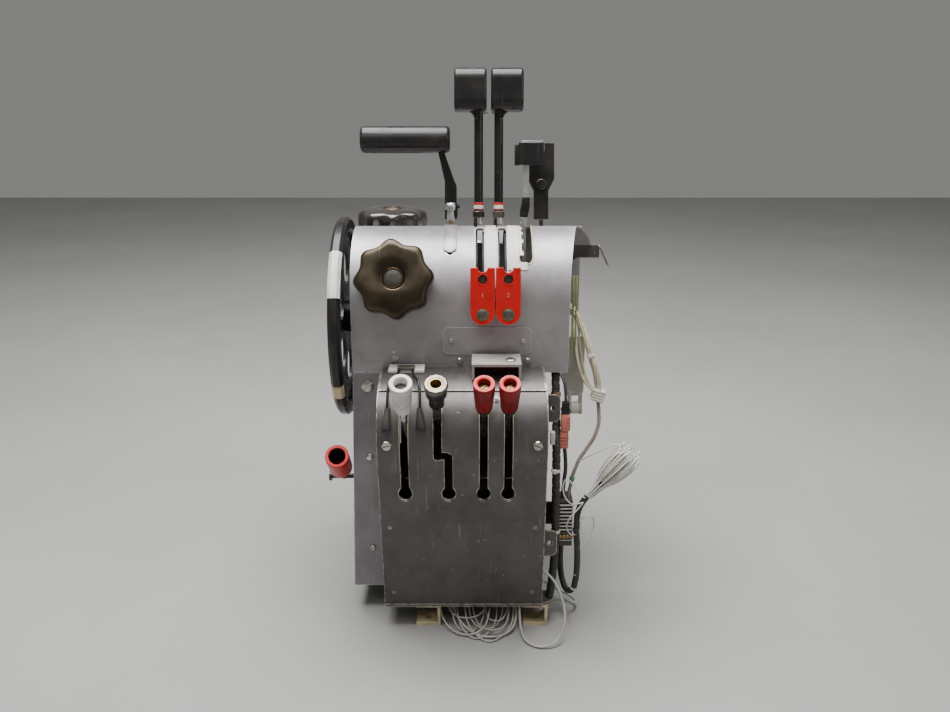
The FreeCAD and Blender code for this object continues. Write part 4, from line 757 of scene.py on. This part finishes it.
def addGates():
    for name in ("fuel1", "fuel2"):
        coated(name + "_slot_rim", slotRim(arch, gates[name], 1.3, -0.4, 0.7), "labelWhite")
    coated("airbrake_gate_rim", slotRim(arch, gates["airbrake"], 1.0, -0.4, 0.25), "bareAlloy")
    plate = curvedPad(arch, gates["airbrake"]["x"], **shutter)
    piece("airbrake_shutter", plate, "satinGrey", "airbrake")
    # matt black strips under the cover: painted shade seen through the slots
    strips = [bentStrip(arch, low, high, 0, 89, -5.5, -4.7) for low, high in slotShadeStrips]
    coated("slot_painted_shade", joined(*strips), "mattBlack")
    labels = [bentStrip(arch, 25.3, 35.9, 30, 96, 0, 0.8), bentStrip(arch, 3.5, 14.1, 14, 96, 0, 0.6),
              bentStrip(arch, 35.9, 44, 30, 37, 0, 0.8, 6)]
    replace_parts(coated("gate_labels", joined(*labels), "labelWhite"), "gate_plates")
    coated("flap_gate_rim", slotRim(arch, dict(gates["flap"], wide=12.4), 1.2, -0.4, 0.6), "creamPaint")
    low, high, half = flapStops["low"], flapStops["high"], flapStops["half"]
    stops = [bentStrip(arch, 36.3, 38.6, 44, 100, low, high, 20)]
    stops += [bentStrip(arch, 38.4, 40.2, angle - half, angle + half, low, high, 3)
              for angle in flapStops["angles"]]
    coated("flap_gate_stops", joined(*stops), "whiteEnamel")
    for name, gate in drumGates.items():
        coated(name + "_slot_edge", slotRim(drum, gate, 0.6, -0.4, 0.15), "creamPaint")
    silver = bentStrip(drum, -77.1, -75.9, 2, 30, -3.5, -1.7, 10)
    piece("white_slot_strip", silver, "bareAlloy")


# x and z on the cover's front, radius, turn of the slot
screws = {
    "coverLeft": (-86, 277, 3.4, 20), "coverMiddle": (-22.1, 275, 3.0, 75),
    "coverRight": (44.6, 275, 3.0, -35),
    "plateLeft": (-30, 295.6, 2.6, 0), "plateRight": (39.6, 295.6, 2.6, 0),
    "sideTop": (-113.5, 249, 6.0, 35), "sideMiddle": (-113.5, 173, 3.5, 65),
    "sideLow": (-113.5, 71, 3.0, 10),
}
panScrews = {"left": (-89.4, 15), "right": (51.8, -25)}  # x and turn of the slot
panelRivets = {"slope": 11.5, "at": [(-89.9, 122), (51.5, 122), (-88.7, 42), (50.8, 42)]}
toCrew = (0, -1, 0)


def onPanel(x, z):  # where the lower panel's flat part is at a height, and the way it faces
    y, edge = onArc(drum, -panelRivets["slope"])
    slope = math.radians(panelRivets["slope"])
    return aimed((x, y + (edge - z) * math.tan(slope), z), (0, -math.cos(slope), -math.sin(slope)))


def addFasteners():
    heads = []
    for name, (x, z, radius, turn) in screws.items():
        lift, head = 0.0, slottedHead(radius, 2.0)
        if name.startswith("plate"):
            lift, head = 1.0, roundHead(radius, 1.8)
        heads.append(moved(head, aimed((x, coverFront - lift, z), toCrew, turn)))
    for x, turn in panScrews.values():
        head = slottedHead(5, 2.6, 1.5, 0.6)
        heads.append(moved(head, aimed((x, drum["y"] - drum["radius"], drum["z"]), toCrew, turn)))
    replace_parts(piece("panel_screws", joined(*heads), "brightSteel"), "fasteners")
    profile = [(0, 0.1), (1.0, 0.1), (1.2, 0.5), (1.9, 0.55), (2.3, 0.2), (2.3, -0.3), (0, -0.3)]
    rivets = [moved(lathe(profile, 28), onPanel(x, z)) for x, z in panelRivets["at"]]
    piece("lower_panel_rivets", joined(*rivets), "dullSteel")
    dot = lathe([(0, -0.2), (1.3, -0.2), (1.3, 0.2), (0, 0.35)], 20)
    piece("cover_dot", dot, "whiteEnamel", where=aimed((-87, coverFront, 284), toCrew))


addGates()
addFasteners()
print("cover is dressed")


def turned(outline, low, thick):  # an outline in Y and Z, thick along X from low
    across = Matrix(((0, 0, 1, low), (1, 0, 0, 0), (0, 1, 0, 0), (0, 0, 0, 1)))
    return moved(prism(outline, thick), across)


def standing(outline, thick):  # an outline in X and Z, thick to both sides of Y = 0
    return moved(prism(outline, thick), shift(0, thick / 2, 0) @ turnAbout("X", 90))


hub = {"radius": 11, "bore": 5.05, "sheet": 4}


def armPlate(low, reach, tip, slant=0.0):  # a flat arm on its hub, cut at a slant where the grip starts
    drop, radius = tip / 2 * math.tan(math.radians(slant)), hub["radius"]
    turns = [math.pi + math.pi * i / 24 for i in range(25)]
    outline = [(tip / 2, reach + drop), (-tip / 2, reach - drop)]
    outline += [(radius * math.cos(turn), radius * math.sin(turn)) for turn in turns]
    plate = soften(turned(outline, low, hub["sheet"]), 0.5, 1)
    return carve(plate, moved(rod(hub["bore"], -9, 9, 36), turnAbout("Y", 90)))


throttles = {
    "throttle_1": {"x": -3.3, "side": -1, "collar": "blackEnamel"},
    "throttle_2": {"x": 17, "side": 1, "collar": "phenolicBrown"},
}
shaft = {"radius": 4.5, "rest": -10, "foot": 66, "collar": 73.6, "top": 179, "blend": 7, "offset": -5.2}
# finish, inner and outer radius, from and to along the shaft, edge
shaftRings = {
    "collar": ("", 3.8, 6.0, 73.6, 79.9, 0.5), "neck": ("maroonPaint", 3.8, 4.8, 79.9, 82.2, 0.3),
    "white_band": ("labelWhite", 4.0, 4.95, 82.2, 86.1, 0.2),
    "red_band": ("redEnamel", 4.0, 4.95, 86.1, 88.6, 0.2),
}


def ringOn(inner, outer, low, high, edge):
    return lathe([(inner, low), (outer - edge, low), (outer, low + edge), (outer, high - edge),
                  (outer - edge, high), (inner, high)], 40, True)


def addThrottles():
    r, top, foot, seat = shaft["radius"], shaft["top"], shaft["foot"], shaft["collar"]
    bend, quarter = shaft["blend"], [math.pi / 2 * i / 8 for i in range(9)]
    for lever, look in throttles.items():
        add, side = riding(lever, onLever(look["x"], arch, shaft["rest"])), look["side"]
        plate = armPlate(shaft["offset"], seat - 0.2, r * 2)
        bar = lathe([(0, 73), (r - 0.4, 73), (r - 0.4, 82), (r, 82.2), (r, top), (0, top)], 40)
        arc = [(side * (r + bend - bend * math.cos(turn)), top - bend + bend * math.sin(turn))
               for turn in quarter]
        web = soften(standing(arc + [(0, top), (0, top - bend)], r * 1.9), 1.2)
        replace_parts(add("shaft", joined(plate, bar, web), "blackEnamel"), f"{lever}_lever")
        cone = lathe([(0, foot), (4.3, foot), (4.7, foot + 1), (4.7, seat), (0, seat)], 40)
        add("foot", cone, "bareAlloy")
        for part, (finish, *sizes) in shaftRings.items():
            add(part, ringOn(*sizes), finish or look["collar"])


cocks = {"fuel_cock_1": {"x": 0.3, "figure": "1"}, "fuel_cock_2": {"x": 24.7, "figure": "2"}}
pad = {"rest": 81.4, "top": 82.0, "hole": 16.2, "screw": -17.5, "figure": 1.0}


def addCocks():
    top, hole, screw = pad["top"], shift(0, pad["hole"], 0), shift(0, pad["screw"], 0)
    for lever, look in cocks.items():
        add = riding(lever, onLever(look["x"], arch, pad["rest"]))
        add("hole_plug", lathe([(0, top - 7.1), (4.4, top - 7.1), (4.4, top - 2.5), (3.6, top - 2.1),
                                (0, top - 2.4)], 24), "phenolicBrown", hole)
        add("hole_rim", lathe([(4.4, top - 0.5), (5.4, top - 0.5), (5.4, top + 0.25), (4.6, top + 0.3)],
                              32, True), "redEnamel", hole)
        add("screw_seat", lathe([(5.2, top - 0.4), (6.3, top - 0.4), (6.1, top + 0.3), (5.3, top + 0.3)],
                                32, True), "agedBrass", screw)
        head = moved(slottedHead(5.1, 1.8, 1.7, 0.3), shift(0, 0, top - 0.6))
        add("screw", head, "dullSteel", screw @ Matrix.Rotation(0.5, 4, "Z"))
        add("figure", numberPlate(look["figure"], 6, 0.5), "palePink", shift(0, pad["figure"], top + 0.1))


upperLevers = {"airbrake": {"x": -31.5, "rest": -6}, "flap": {"x": 42.5, "rest": -7},
               "wheel_brake": {"x": 61, "rest": -18.8}}


def addUpperLevers():
    airbrake, flap, brake = (riding(name, onLever(at["x"], arch, at["rest"]))
                             for name, at in upperLevers.items())
    collar = lathe([(0, 68), (3.2, 68), (3.2, 70.5), (5.2, 71), (5.4, 73), (5.2, 81), (6.6, 81.4),
                    (6.9, 84), (6.6, 87.4), (5.6, 88.4), (0, 88.4)], 44)
    airbrake("collar", collar, "bareAlloy")
    clip = joined(block((4.2, -5.2, 74), (7.0, -2.4, 88), 0.5),
                  block((5.6, -5.4, 83), (9.2, -2.6, 86), 0.5))
    airbrake("clip", clip, "blackPlastic")
    airbrake("pin", rod(2.0, 66.9, 70.6, 20), "agedBrass", shift(0, -3.6, 0))
    boot = [(-4, 74), (3.9, 74), (5.9, 85), (5.9, 94), (-1.9, 94), (-2.1, 88), (-4, 80)]
    flap("boot", soften(standing(boot, 8), 0.7), "blackPlastic")
    flap("foot", block((-3.4, -3.6, 68), (3.4, 3.6, 74), 0.6), "bareAlloy")
    flap("knob_top", block((-3.2, -6.6, 148.2), (18.8, 6.6, 149.9), 0.6), "bareAlloy")
    flap("knob_flange", block((-9.6, -5.6, 125.4), (-4.8, 5.6, 146), 0.8), "blackPlastic")
    boss = lathe([(0, 3.6), (5.6, 3.6), (5.6, 5.4), (4.8, 6.2), (1.6, 6.2), (1.3, 5.4), (0, 5.4)], 36)
    brake("boss", boss, "blackEnamel", aimed((0, 0, 108), toCrew))


addThrottles()
addCocks()
addUpperLevers()
print("upper levers are dressed")


grip = {"from": 57, "rest": 58, "lean": -25, "long": 45, "neck": 10, "floor": 36, "radius": 10}
blackLeverX = -42


def onGrip(x):  # the frame of a lower grip, along its own length
    return onLever(x, drum, grip["rest"]) @ shift(0, 0, grip["from"]) @ turnAbout("X", grip["lean"])


def gripBody(bore=5.6):
    low, top, r, floor = grip["neck"], grip["long"], grip["radius"], grip["floor"]
    return lathe([(0, low), (7.2, low), (8.2, low + 1.2), (r, top - 8), (r, top - 1.6),
                  (r - 1.2, top - 0.3), (bore + 0.6, top - 0.3), (bore, top - 1), (bore, floor),
                  (0, floor)], 48)


def gripNeck():
    top = grip["neck"]
    return joined(soften(block((-2, -5, -3), (2, 5, top + 1)), 0.5),
                  lathe([(0, 5), (6.2, 5), (6.8, 6.5), (6.8, top), (0, top)], 36))


def boreHead(radius, tall, slot, height):  # the screw head seen down in a grip's bore
    return moved(slottedHead(radius, tall, slot), shift(0, 0, height))


def slantedArm(x):  # the plate from the hub of a lever to the foot of its slanted grip
    return moved(armPlate(-2, grip["from"], 10, grip["lean"]), onLever(x, drum, grip["rest"]))


def addLowerLevers():
    floor = grip["floor"]
    for lever, gate in (("lp_cock_1", "lp1"), ("lp_cock_2", "lp2")):
        add = riding(lever, onGrip(drumGates[gate]["x"]))
        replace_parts(add("barrel", gripBody(), "deepRed"), f"{lever}_grip")
        add("neck", gripNeck(), "blackEnamel")
        ring = [(5.8, 43.8), (9.6, 43.8), (9.9, 44.4), (9.4, 45.2), (6.6, 45.2), (6.0, 44.8)]
        add("end_ring", lathe(ring, 40, True), "redEnamel")
        head = moved(slottedHead(5.3, 2.6, 1.3), shift(0, 0, floor) @ Matrix.Rotation(0.7, 4, "Z"))
        add("bore_screw", head, "agedBrass")
    x = drumGates["white"]["x"]
    add = riding("white_lever", onGrip(x))
    body = joined(slantedArm(x), moved(joined(gripBody(6.2), gripNeck()), onGrip(x)))
    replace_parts(piece("white_lever_body", body, "whiteEnamel", "white_lever"), "white_lever")
    add("ring", lathe([(6.4, 43.6), (10.4, 43.6), (10.9, 44.4), (10.3, 45.6), (7.0, 45.6)], 40, True),
        "labelWhite")
    add("screw", boreHead(5.6, 2.0, 1.3, floor), "phenolicBrown")
    x = blackLeverX
    add = riding("black_lever", onGrip(x))
    barrel = lathe([(0, 14), (6.4, 14), (7.2, 15.4), (7.2, 29), (9.6, 30), (10, 31), (10, 39.4),
                    (5.8, 39.4), (5.8, 34), (0, 34)], 44)
    blade = soften(block((-4, -4.6, -3), (4, 4.6, 15)), 0.7)
    body = joined(slantedArm(x), moved(joined(barrel, blade), onGrip(x)))
    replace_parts(piece("black_lever_body", body, "blackEnamel", "black_lever"), "black_lever")
    nut = [(9.0, 39.2), (10.8, 39.4), (11.0, 40.2), (11.0, 44), (10.0, 45), (7.2, 45), (6.3, 44.2),
           (6.3, 39.2)]
    add("collar", lathe(nut, 12, True), "dullSteel", smooth=20)
    add("bore", lathe([(6.3, 44.6), (5.4, 44.6), (4.9, 36), (5.9, 36)], 36, True), "agedBrass")
    add("screw", boreHead(5.0, 2.0, 1.2, 34), "phenolicBrown")


bail = {"half": 15.2, "wide": 2.6, "foot": 20}


def addGuard():
    # a maroon panel behind the red grips: painted shade under the guard, tinted as a painted reflection of
    # the red grips
    coated("guard_painted_shade", block((-7.4, -112, 269.6), (34.4, -110.8, 281.4), 0.2), "maroonPaint")
    piece("guard_disc", moved(slottedHead(5, 2.4), aimed((27, -124, 284), (0, 0, 1), 30)), "brightSteel")
    y, z = onArc(drum, 49, -0.2)
    bolt = lathe([(0, 0), (3.2, 0), (3.2, 1.0), (2.1, 1.2), (2.1, 3.6), (1.5, 4.2), (0, 4.4)], 24)
    piece("drum_bolt", bolt, "whiteEnamel", where=aimed((13.1, y, z), (0, y - drum["y"], z - drum["z"])))
    coated("white_lever_backing", block((-91, -118, 268.9), (-56, -98, 272.8), 1.2), "labelWhite")
    coated("white_lever_hinge", block((-82, -119.5, 272.8), (-65, -111, 276), 0.8), "dullSteel")
    loops, feet = [], []
    for side in (-1, 1):
        x = drumGates["white"]["x"] + side * bail["half"]
        line = [(x, -166, 239.5), (x, -158, 256), (x - side * 0.5, -150, 266.5),
                (x - side * 2.5, -144, 271), (x - side * 6, -136, 272), (x - side * 8, -126, 272),
                (x - side * 9, -113, 272.5)]
        loops.append(looseTube(line, bail["wide"], "mattBlack"))
        y, z = onArc(drum, bail["foot"], 1.6)
        foot = lathe([(0, 0), (4.6, 0), (4.9, 1.5), (3.6, 10), (2.4, 20), (0, 20)], 30)
        feet.append(moved(foot, aimed((x + side * 1.2, y, z - 3), (-side * 0.08, 0.36, 0.93))))
    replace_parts(piece("bail_wires", joined(*loops), "blackEnamel", smooth=60), "bail_guard")
    piece("bail_feet", joined(*feet), "blackSleeve")


knobs = {
    "aileron_knob": {"at": (-84, -91.08, 353.73), "tilt": 70, "finish": "knobPaintedWarmSheen"},
    "rudder_knob": {"at": (-99, 79, 370.5), "tilt": 0, "finish": "knobBlack"},
}
star = {"lobe": 38.5, "waist": 34, "lobes": 8, "turn": 5}
# share of the outline and height, from the crown to the foot
starProfile = [(0.27, 27.0), (0.29, 28.4), (0.34, 28.9), (0.6, 28.5), (0.82, 27.4), (0.92, 26.2),
               (0.97, 24.6), (0.995, 22), (1.0, 18), (1.0, 9), (0.99, 5), (0.955, 3.2), (0.33, 3),
               (0.33, 0)]


def starKnob(steps=192):
    middle, swing = (star["lobe"] + star["waist"]) / 2, star["lobe"] - star["waist"]
    rows = []
    for share, height in starProfile:
        row, weight = [], share ** 6  # round near the middle, star-shaped near the rim
        for i in range(steps):
            angle = math.tau * i / steps
            wave = math.cos(star["lobes"] * (angle - math.radians(star["turn"])))
            edge = star["waist"] + swing * ((1 + wave) / 2) ** 1.15
            reach = share * (middle * (1 - weight) + edge * weight)
            row.append((reach * math.cos(angle), reach * math.sin(angle), height))
        rows.append(row)
    return bridged(rows)


def addKnobCaps():
    for knob, look in knobs.items():
        add = riding(knob, shift(*look["at"]) @ turnAbout("X", look["tilt"]))
        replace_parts(add("star", starKnob(), look["finish"], smooth=50), knob)
        add("ring", lathe([(8.5, 26.5), (9.7, 26.5), (9.8, 28.6), (9.4, 29.0), (8.9, 29.0), (8.5, 28.4)],
                          44, True), "darkBronze")
        add("cap", lathe([(0, 26.5), (8.6, 26.5), (8.6, 27.9), (8.0, 28.3), (3, 28.5), (0, 28.5)], 44),
            "roughBlack")


wheel = {"x": -141.5, "y": -20, "z": 301, "outer": 103.35, "inner": 98.4, "half": 6.15}


def wheelBand(name, finish, start, stop, steps=18):  # a coloured sleeve on the wheel's rim
    x, outer, inner, half = wheel["x"], wheel["outer"], wheel["inner"], wheel["half"]
    profile = ((x - half, inner), (x - half, outer - 3), (x - half + 3, outer), (x + half - 3, outer),
               (x + half, outer - 3), (x + half, inner))
    rows = []
    for i in range(steps + 1):
        angle = math.radians(start + (stop - start) * i / steps)
        rows.append([(across, wheel["y"] - r * math.cos(angle), wheel["z"] + r * math.sin(angle))
                     for across, r in profile])
    piece(name, bridged(rows), finish, "trim_wheel")


def addWheel():
    wheelBand("wheel_white_band", "labelWhite", 24, 52)
    wheelBand("wheel_cream_band", "creamPaint", -38, -28)
    where = shift(wheel["x"] - 9.5, wheel["y"], wheel["z"]) @ turnAbout("Y", -90)
    cap = lathe([(0, 0.3), (9.6, 0.3), (9.9, 1.6), (8.6, 2.9), (3, 3.2), (0, 3.2)], 40)
    piece("wheel_hub_cap", cap, "blackEnamel", where=where)


pull = {"at": (-143.6, -72, 142), "rest": 48, "top": 61.5}


def addPullHandle():
    add, top = riding("pull_handle", shift(*pull["at"]) @ turnAbout("X", pull["rest"])), pull["top"]
    tube = lathe([(8.5, top), (8.5, 29), (4, 28.5), (0, 28.5), (0, 26), (9, 26), (11.5, 28), (11.9, 31),
                  (11.9, top)], 44)
    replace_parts(add("tube", tube, "redEnamel"), "pull_handle")
    add("link", rod(3.4, 0, 27, 24), "blackEnamel")
    add("lining", lathe([(8.6, 60.6), (8.2, 60.6), (8.2, 29), (8.6, 29)], 40, True), "mattBlack")
    add("lip", lathe([(8.3, 61), (11.6, 61), (11.8, 61.4), (11.2, 62), (8.9, 62)], 44, True), "redEnamel")


addLowerLevers()
addGuard()
addKnobCaps()
addWheel()
addPullHandle()
print("lower levers, knobs and wheel are dressed")


hank = {"at": (106, -119, 141), "ahead": (0.665, 0, 0.747), "long": 69, "strands": 42, "wide": 1.3,
        "tracers": {31: "redWire", 20: "blueWire"}}
strayWire = [(97, -96, 168), (106, -104, 177), (119, -112, 187), (129, -116, 195), (137, -118, 195),
             (141, -119, 188), (140, -119, 178)]


def addHank():  # each strand goes out from the tie, folds over and comes back beside itself
    base, ahead = Vector(hank["at"]), Vector(hank["ahead"]).normalized()
    side = ahead.cross(Vector((0, 1, 0))).normalized()
    up = ahead.cross(side)
    made = {}
    for k in range(hank["strands"]):
        turn = math.tau * k / hank["strands"] + random.uniform(-0.1, 0.1)
        far = hank["long"] * random.uniform(0.86, 1.0)
        out = (1.15, 0.8, 0.5)[k % 3]
        back = turn + random.uniform(0.25, 0.5)
        path = [(0, 3.4, turn), (18, 4.8, turn), (far * 0.5, 10.5, turn), (far * 0.85, 12.6, turn),
                (far, 9.5, (turn + back) / 2), (far * 0.85, 12.0, back), (far * 0.5, 9.8, back),
                (18, 4.4, back), (0, 3.0, back)]
        points = [base + ahead * along + (side * math.cos(angle) + up * math.sin(angle)) * reach * out
                  for along, reach, angle in path]
        made.setdefault(hank["tracers"].get(k, "whiteWire"), []).append(points)
    made["whiteWire"].append(strayWire)
    pieces = [wires("hank_" + finish, routes, hank["wide"], finish) for finish, routes in made.items()]
    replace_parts(pieces[0], "wire_hank")
    band = ringOn(4.0, 6.6, -1.6, 1.6, 0.6)
    return pieces + [piece("hank_tie", band, "mattBlack", where=aimed(base + ahead * 19, ahead))]


loomLoops = [
    [(104, -120, 138), (97, -124.5, 130), (88, -124, 120), (84, -122, 108), (90, -123, 98),
     (99, -125, 104),
     (99, -125.5, 119), (104, -122, 133)],
    [(103, -121, 136), (92, -125, 132), (83, -120, 138), (80, -117, 150), (84, -116, 160),
     (92, -119, 152),
     (98, -122, 142), (104, -121, 139)],
    [(98, -124, 116), (107, -124, 124), (113, -122, 116), (112, -121, 104), (104, -123, 92),
     (98, -124, 84)],
]


def addLoomLoops():
    loops = [looseTube(route, 1.3, "whiteWire", 8) for route in loomLoops]
    return piece("loom_white_loops", joined(*loops), "whiteWire", smooth=70)


def stack(low, high, count, step, edge=0.3):  # equal bars one above another
    return [moved(block(low, high, edge), shift(0, 0, step * i)) for i in range(count)]


def addPlugs():
    plug = [block((78.2, -110.2, 206), (86.8, -101.8, 224), 0.9),
            block((77.6, -109.9, 187.6), (85.6, -102.1, 205.2), 0.9),
            block((79.4, -108.8, 204), (85.2, -103.2, 207), 0.3)]
    plug += stack((83.4, -110.8, 208), (87.3, -101.2, 209.2), 6, 2.5)
    plug += stack((77.1, -110.4, 190), (86.1, -101.6, 191.2), 4, 3.4)
    red = piece("red_connector", joined(*plug), "salmonPlastic")
    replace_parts(red, "red_plug")
    clamp = joined(block((78.8, -109.4, 223), (86.2, -102.4, 236), 0.8),
                   block((78.0, -110.2, 226), (87.0, -101.6, 229), 0.5))
    clamp = piece("connector_clamp", clamp, "blackPlastic")
    body = [block((-6.3, -5.0, -6.3), (6.3, 5.0, 6.3), 0.8)]
    body += stack((-6.8, -5.5, -5.0), (6.8, 5.5, -3.8), 4, 3.0)
    tilt = shift(118, -75, 232.5) @ turnAbout("Y", 18)
    cream = piece("cream_connector", moved(joined(*body), tilt), "creamPlastic")
    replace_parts(cream, "cream_plug")
    return red, clamp, cream


def addTerminals():
    marks = stack((77.2, -112.6, 99.3), (93.0, -111.6, 100.8), 8, 3.889, 0.2)
    marks.append(block((77.2, -112.4, 87.6), (93.0, -111.6, 88.6), 0.2))
    piece("terminal_marks", joined(*marks), "labelWhite")
    posts = [moved(slottedHead(1.9, 1.4), aimed((80 + 3.7 * i, -112, 92.5), toCrew, 25 * i))
             for i in range(4)]
    piece("terminal_posts", joined(*posts), "agedBrass")
    strips = [block((88.3, -80.6, 276), (90.4, -79.0, 357), 0.3),
              block((91.8, -80.6, 284), (93.4, -79.0, 357), 0.3)]
    piece("side_strips", joined(*strips), "yellowGreen")


extraCords = {
    "clamp_lead": {"wide": 3, "finish": "blackSleeve", "route": [
        (82.4, -106, 236), (82.2, -105, 248), (80, -99, 259), (75, -91, 264)]},
    "pale_tube": {"wide": 3, "finish": "paleGreenWire", "route": [
        (74, -117, 66), (74, -113, 50), (78, -110, 32), (88, -107, 17), (99, -101, 8), (101, -90, 6),
        (92, -80, 8), (76, -76, 15), (62, -76, 24)]},
    "plug_loop": {"wide": 2.2, "finish": "creamWire", "route": [
        (93, -49, 317), (93, -58, 303), (94, -67, 283), (97, -73, 262), (104, -76, 244),
        (114, -76, 236)]},
    "base_loop_1": {"wide": 1.8, "finish": "greyWire", "route": [
        (-44, -112, 24), (-44, -119, 13), (-37, -136, 5), (-24, -150, 2), (-8, -153, 3.5), (4, -144, 8),
        (8, -128, 15), (8, -116, 20), (8, -112, 24)]},
    "base_loop_2": {"wide": 1.8, "finish": "greyWire", "route": [
        (-14, -112, 24), (-14, -120, 12), (-8, -138, 5), (6, -149, 6.2), (20, -148, 7), (27, -134, 9),
        (28, -120, 16), (28, -112, 24)]},
    "base_loop_3": {"wide": 1.8, "finish": "greyWire", "route": [
        (-38, -112, 24), (-36, -118, 16), (-28, -128, 10), (-14, -132, 9), (0, -128, 12),
        (6, -118, 18), (7, -112, 24)]},
}

# from and to in X, how far out in Y, how low
baseLoops = ((-32, 3, -146, 1.6), (-26, 16, -158, 1.4), (-10, 22, -142, 3.2), (-18, 33, -163, 1.2),
             (2, 27, -136, 8))
for index, (left, right, reach, low) in enumerate(baseLoops):
    middle, half = (left + right) / 2, (reach - 112) / 2
    extraCords[f"base_loop_{index + 4}"] = {"wide": 1.6, "finish": "greyWire", "route": [
        (left, -112, 24), (left, -117, 17), (left + 3, half - 2, low + 5), (middle - 8, reach + 4, low),
        (middle + 4, reach, low + 0.3), (right - 2, half - 4, low + 4), (right, -118, 16),
        (right, -112, 24)]}
for index, across in enumerate((3.5, 7)):
    extraCords[f"plug_loop_{index + 2}"] = {"wide": 2.0, "finish": "creamWire", "route": [
        (91 + across * 0.4, -47, 318), (91 + across, -55, 303), (92 + across, -63, 283),
        (95 + across, -69, 262), (102 + across * 0.7, -73, 245), (114, -74, 235)]}


def addWiring():
    red, clamp, cream = addPlugs()
    addTerminals()
    harness, loom, bundle, lead = (lines[name] for name in ("main_harness", "loom_loop", "plug_wires",
                                                            "plug_lead"))
    rings = [tieRound("harness_brass_ring", harness, 0.1, 4.4, "agedBrass", 5, False),
             tieRound("harness_white_tie", harness, 0.42, 4.3, "whiteEnamel", 3, True, 0.4),
             tieRound("harness_cream_tie", harness, 0.69, 4.3, "creamPlastic", 3.4, True, 2.0),
             piece("harness_block", block((67.4, -113, 193), (72.4, -106, 206), 0.8), "whiteEnamel")]
    others = {
        "main_harness": rings,
        "loom_loop": addHank() + [
            addLoomLoops(),
            tieRound("loom_cream_tie", loom, 0.56, 3.3, "creamPlastic", 3.2, True, 1.0),
            tieRound("loom_black_tie", loom, 0.2, 3.3, "mattBlack", 3.0, True, 0.3),
            strands("loom_lacing", loom[:int(len(loom) * 0.45)], 3.5, 0.9, 2, "whiteWire", 7)],
        "plug_wires": [strands("plug_wire_strands", bundle, 2.55, 1.8, 8, "creamWire", 0.6), cream,
                       tieRound("plug_wire_tie", bundle, 0.66, 3.5, "whiteEnamel", 2.6, True, 1.2)],
        "plug_lead": [strands("plug_lead_strands", lead, 1.25, 1.4, 5, "brownWire", 1.2),
                      tieRound("plug_lead_band", lead, 0.82, 2.0, "greenBand", 4, False)],
        "red_lead": [red, clamp],
    }
    for name, cord in cords.items():
        declare(cord["piece"], lines[name])
    for name, cord in extraCords.items():
        wire = wireCurve(name, cord["route"], cord["wide"], cord["finish"])
        declare(wire, centreLine(wire))


addWiring()
print("wiring is laid")
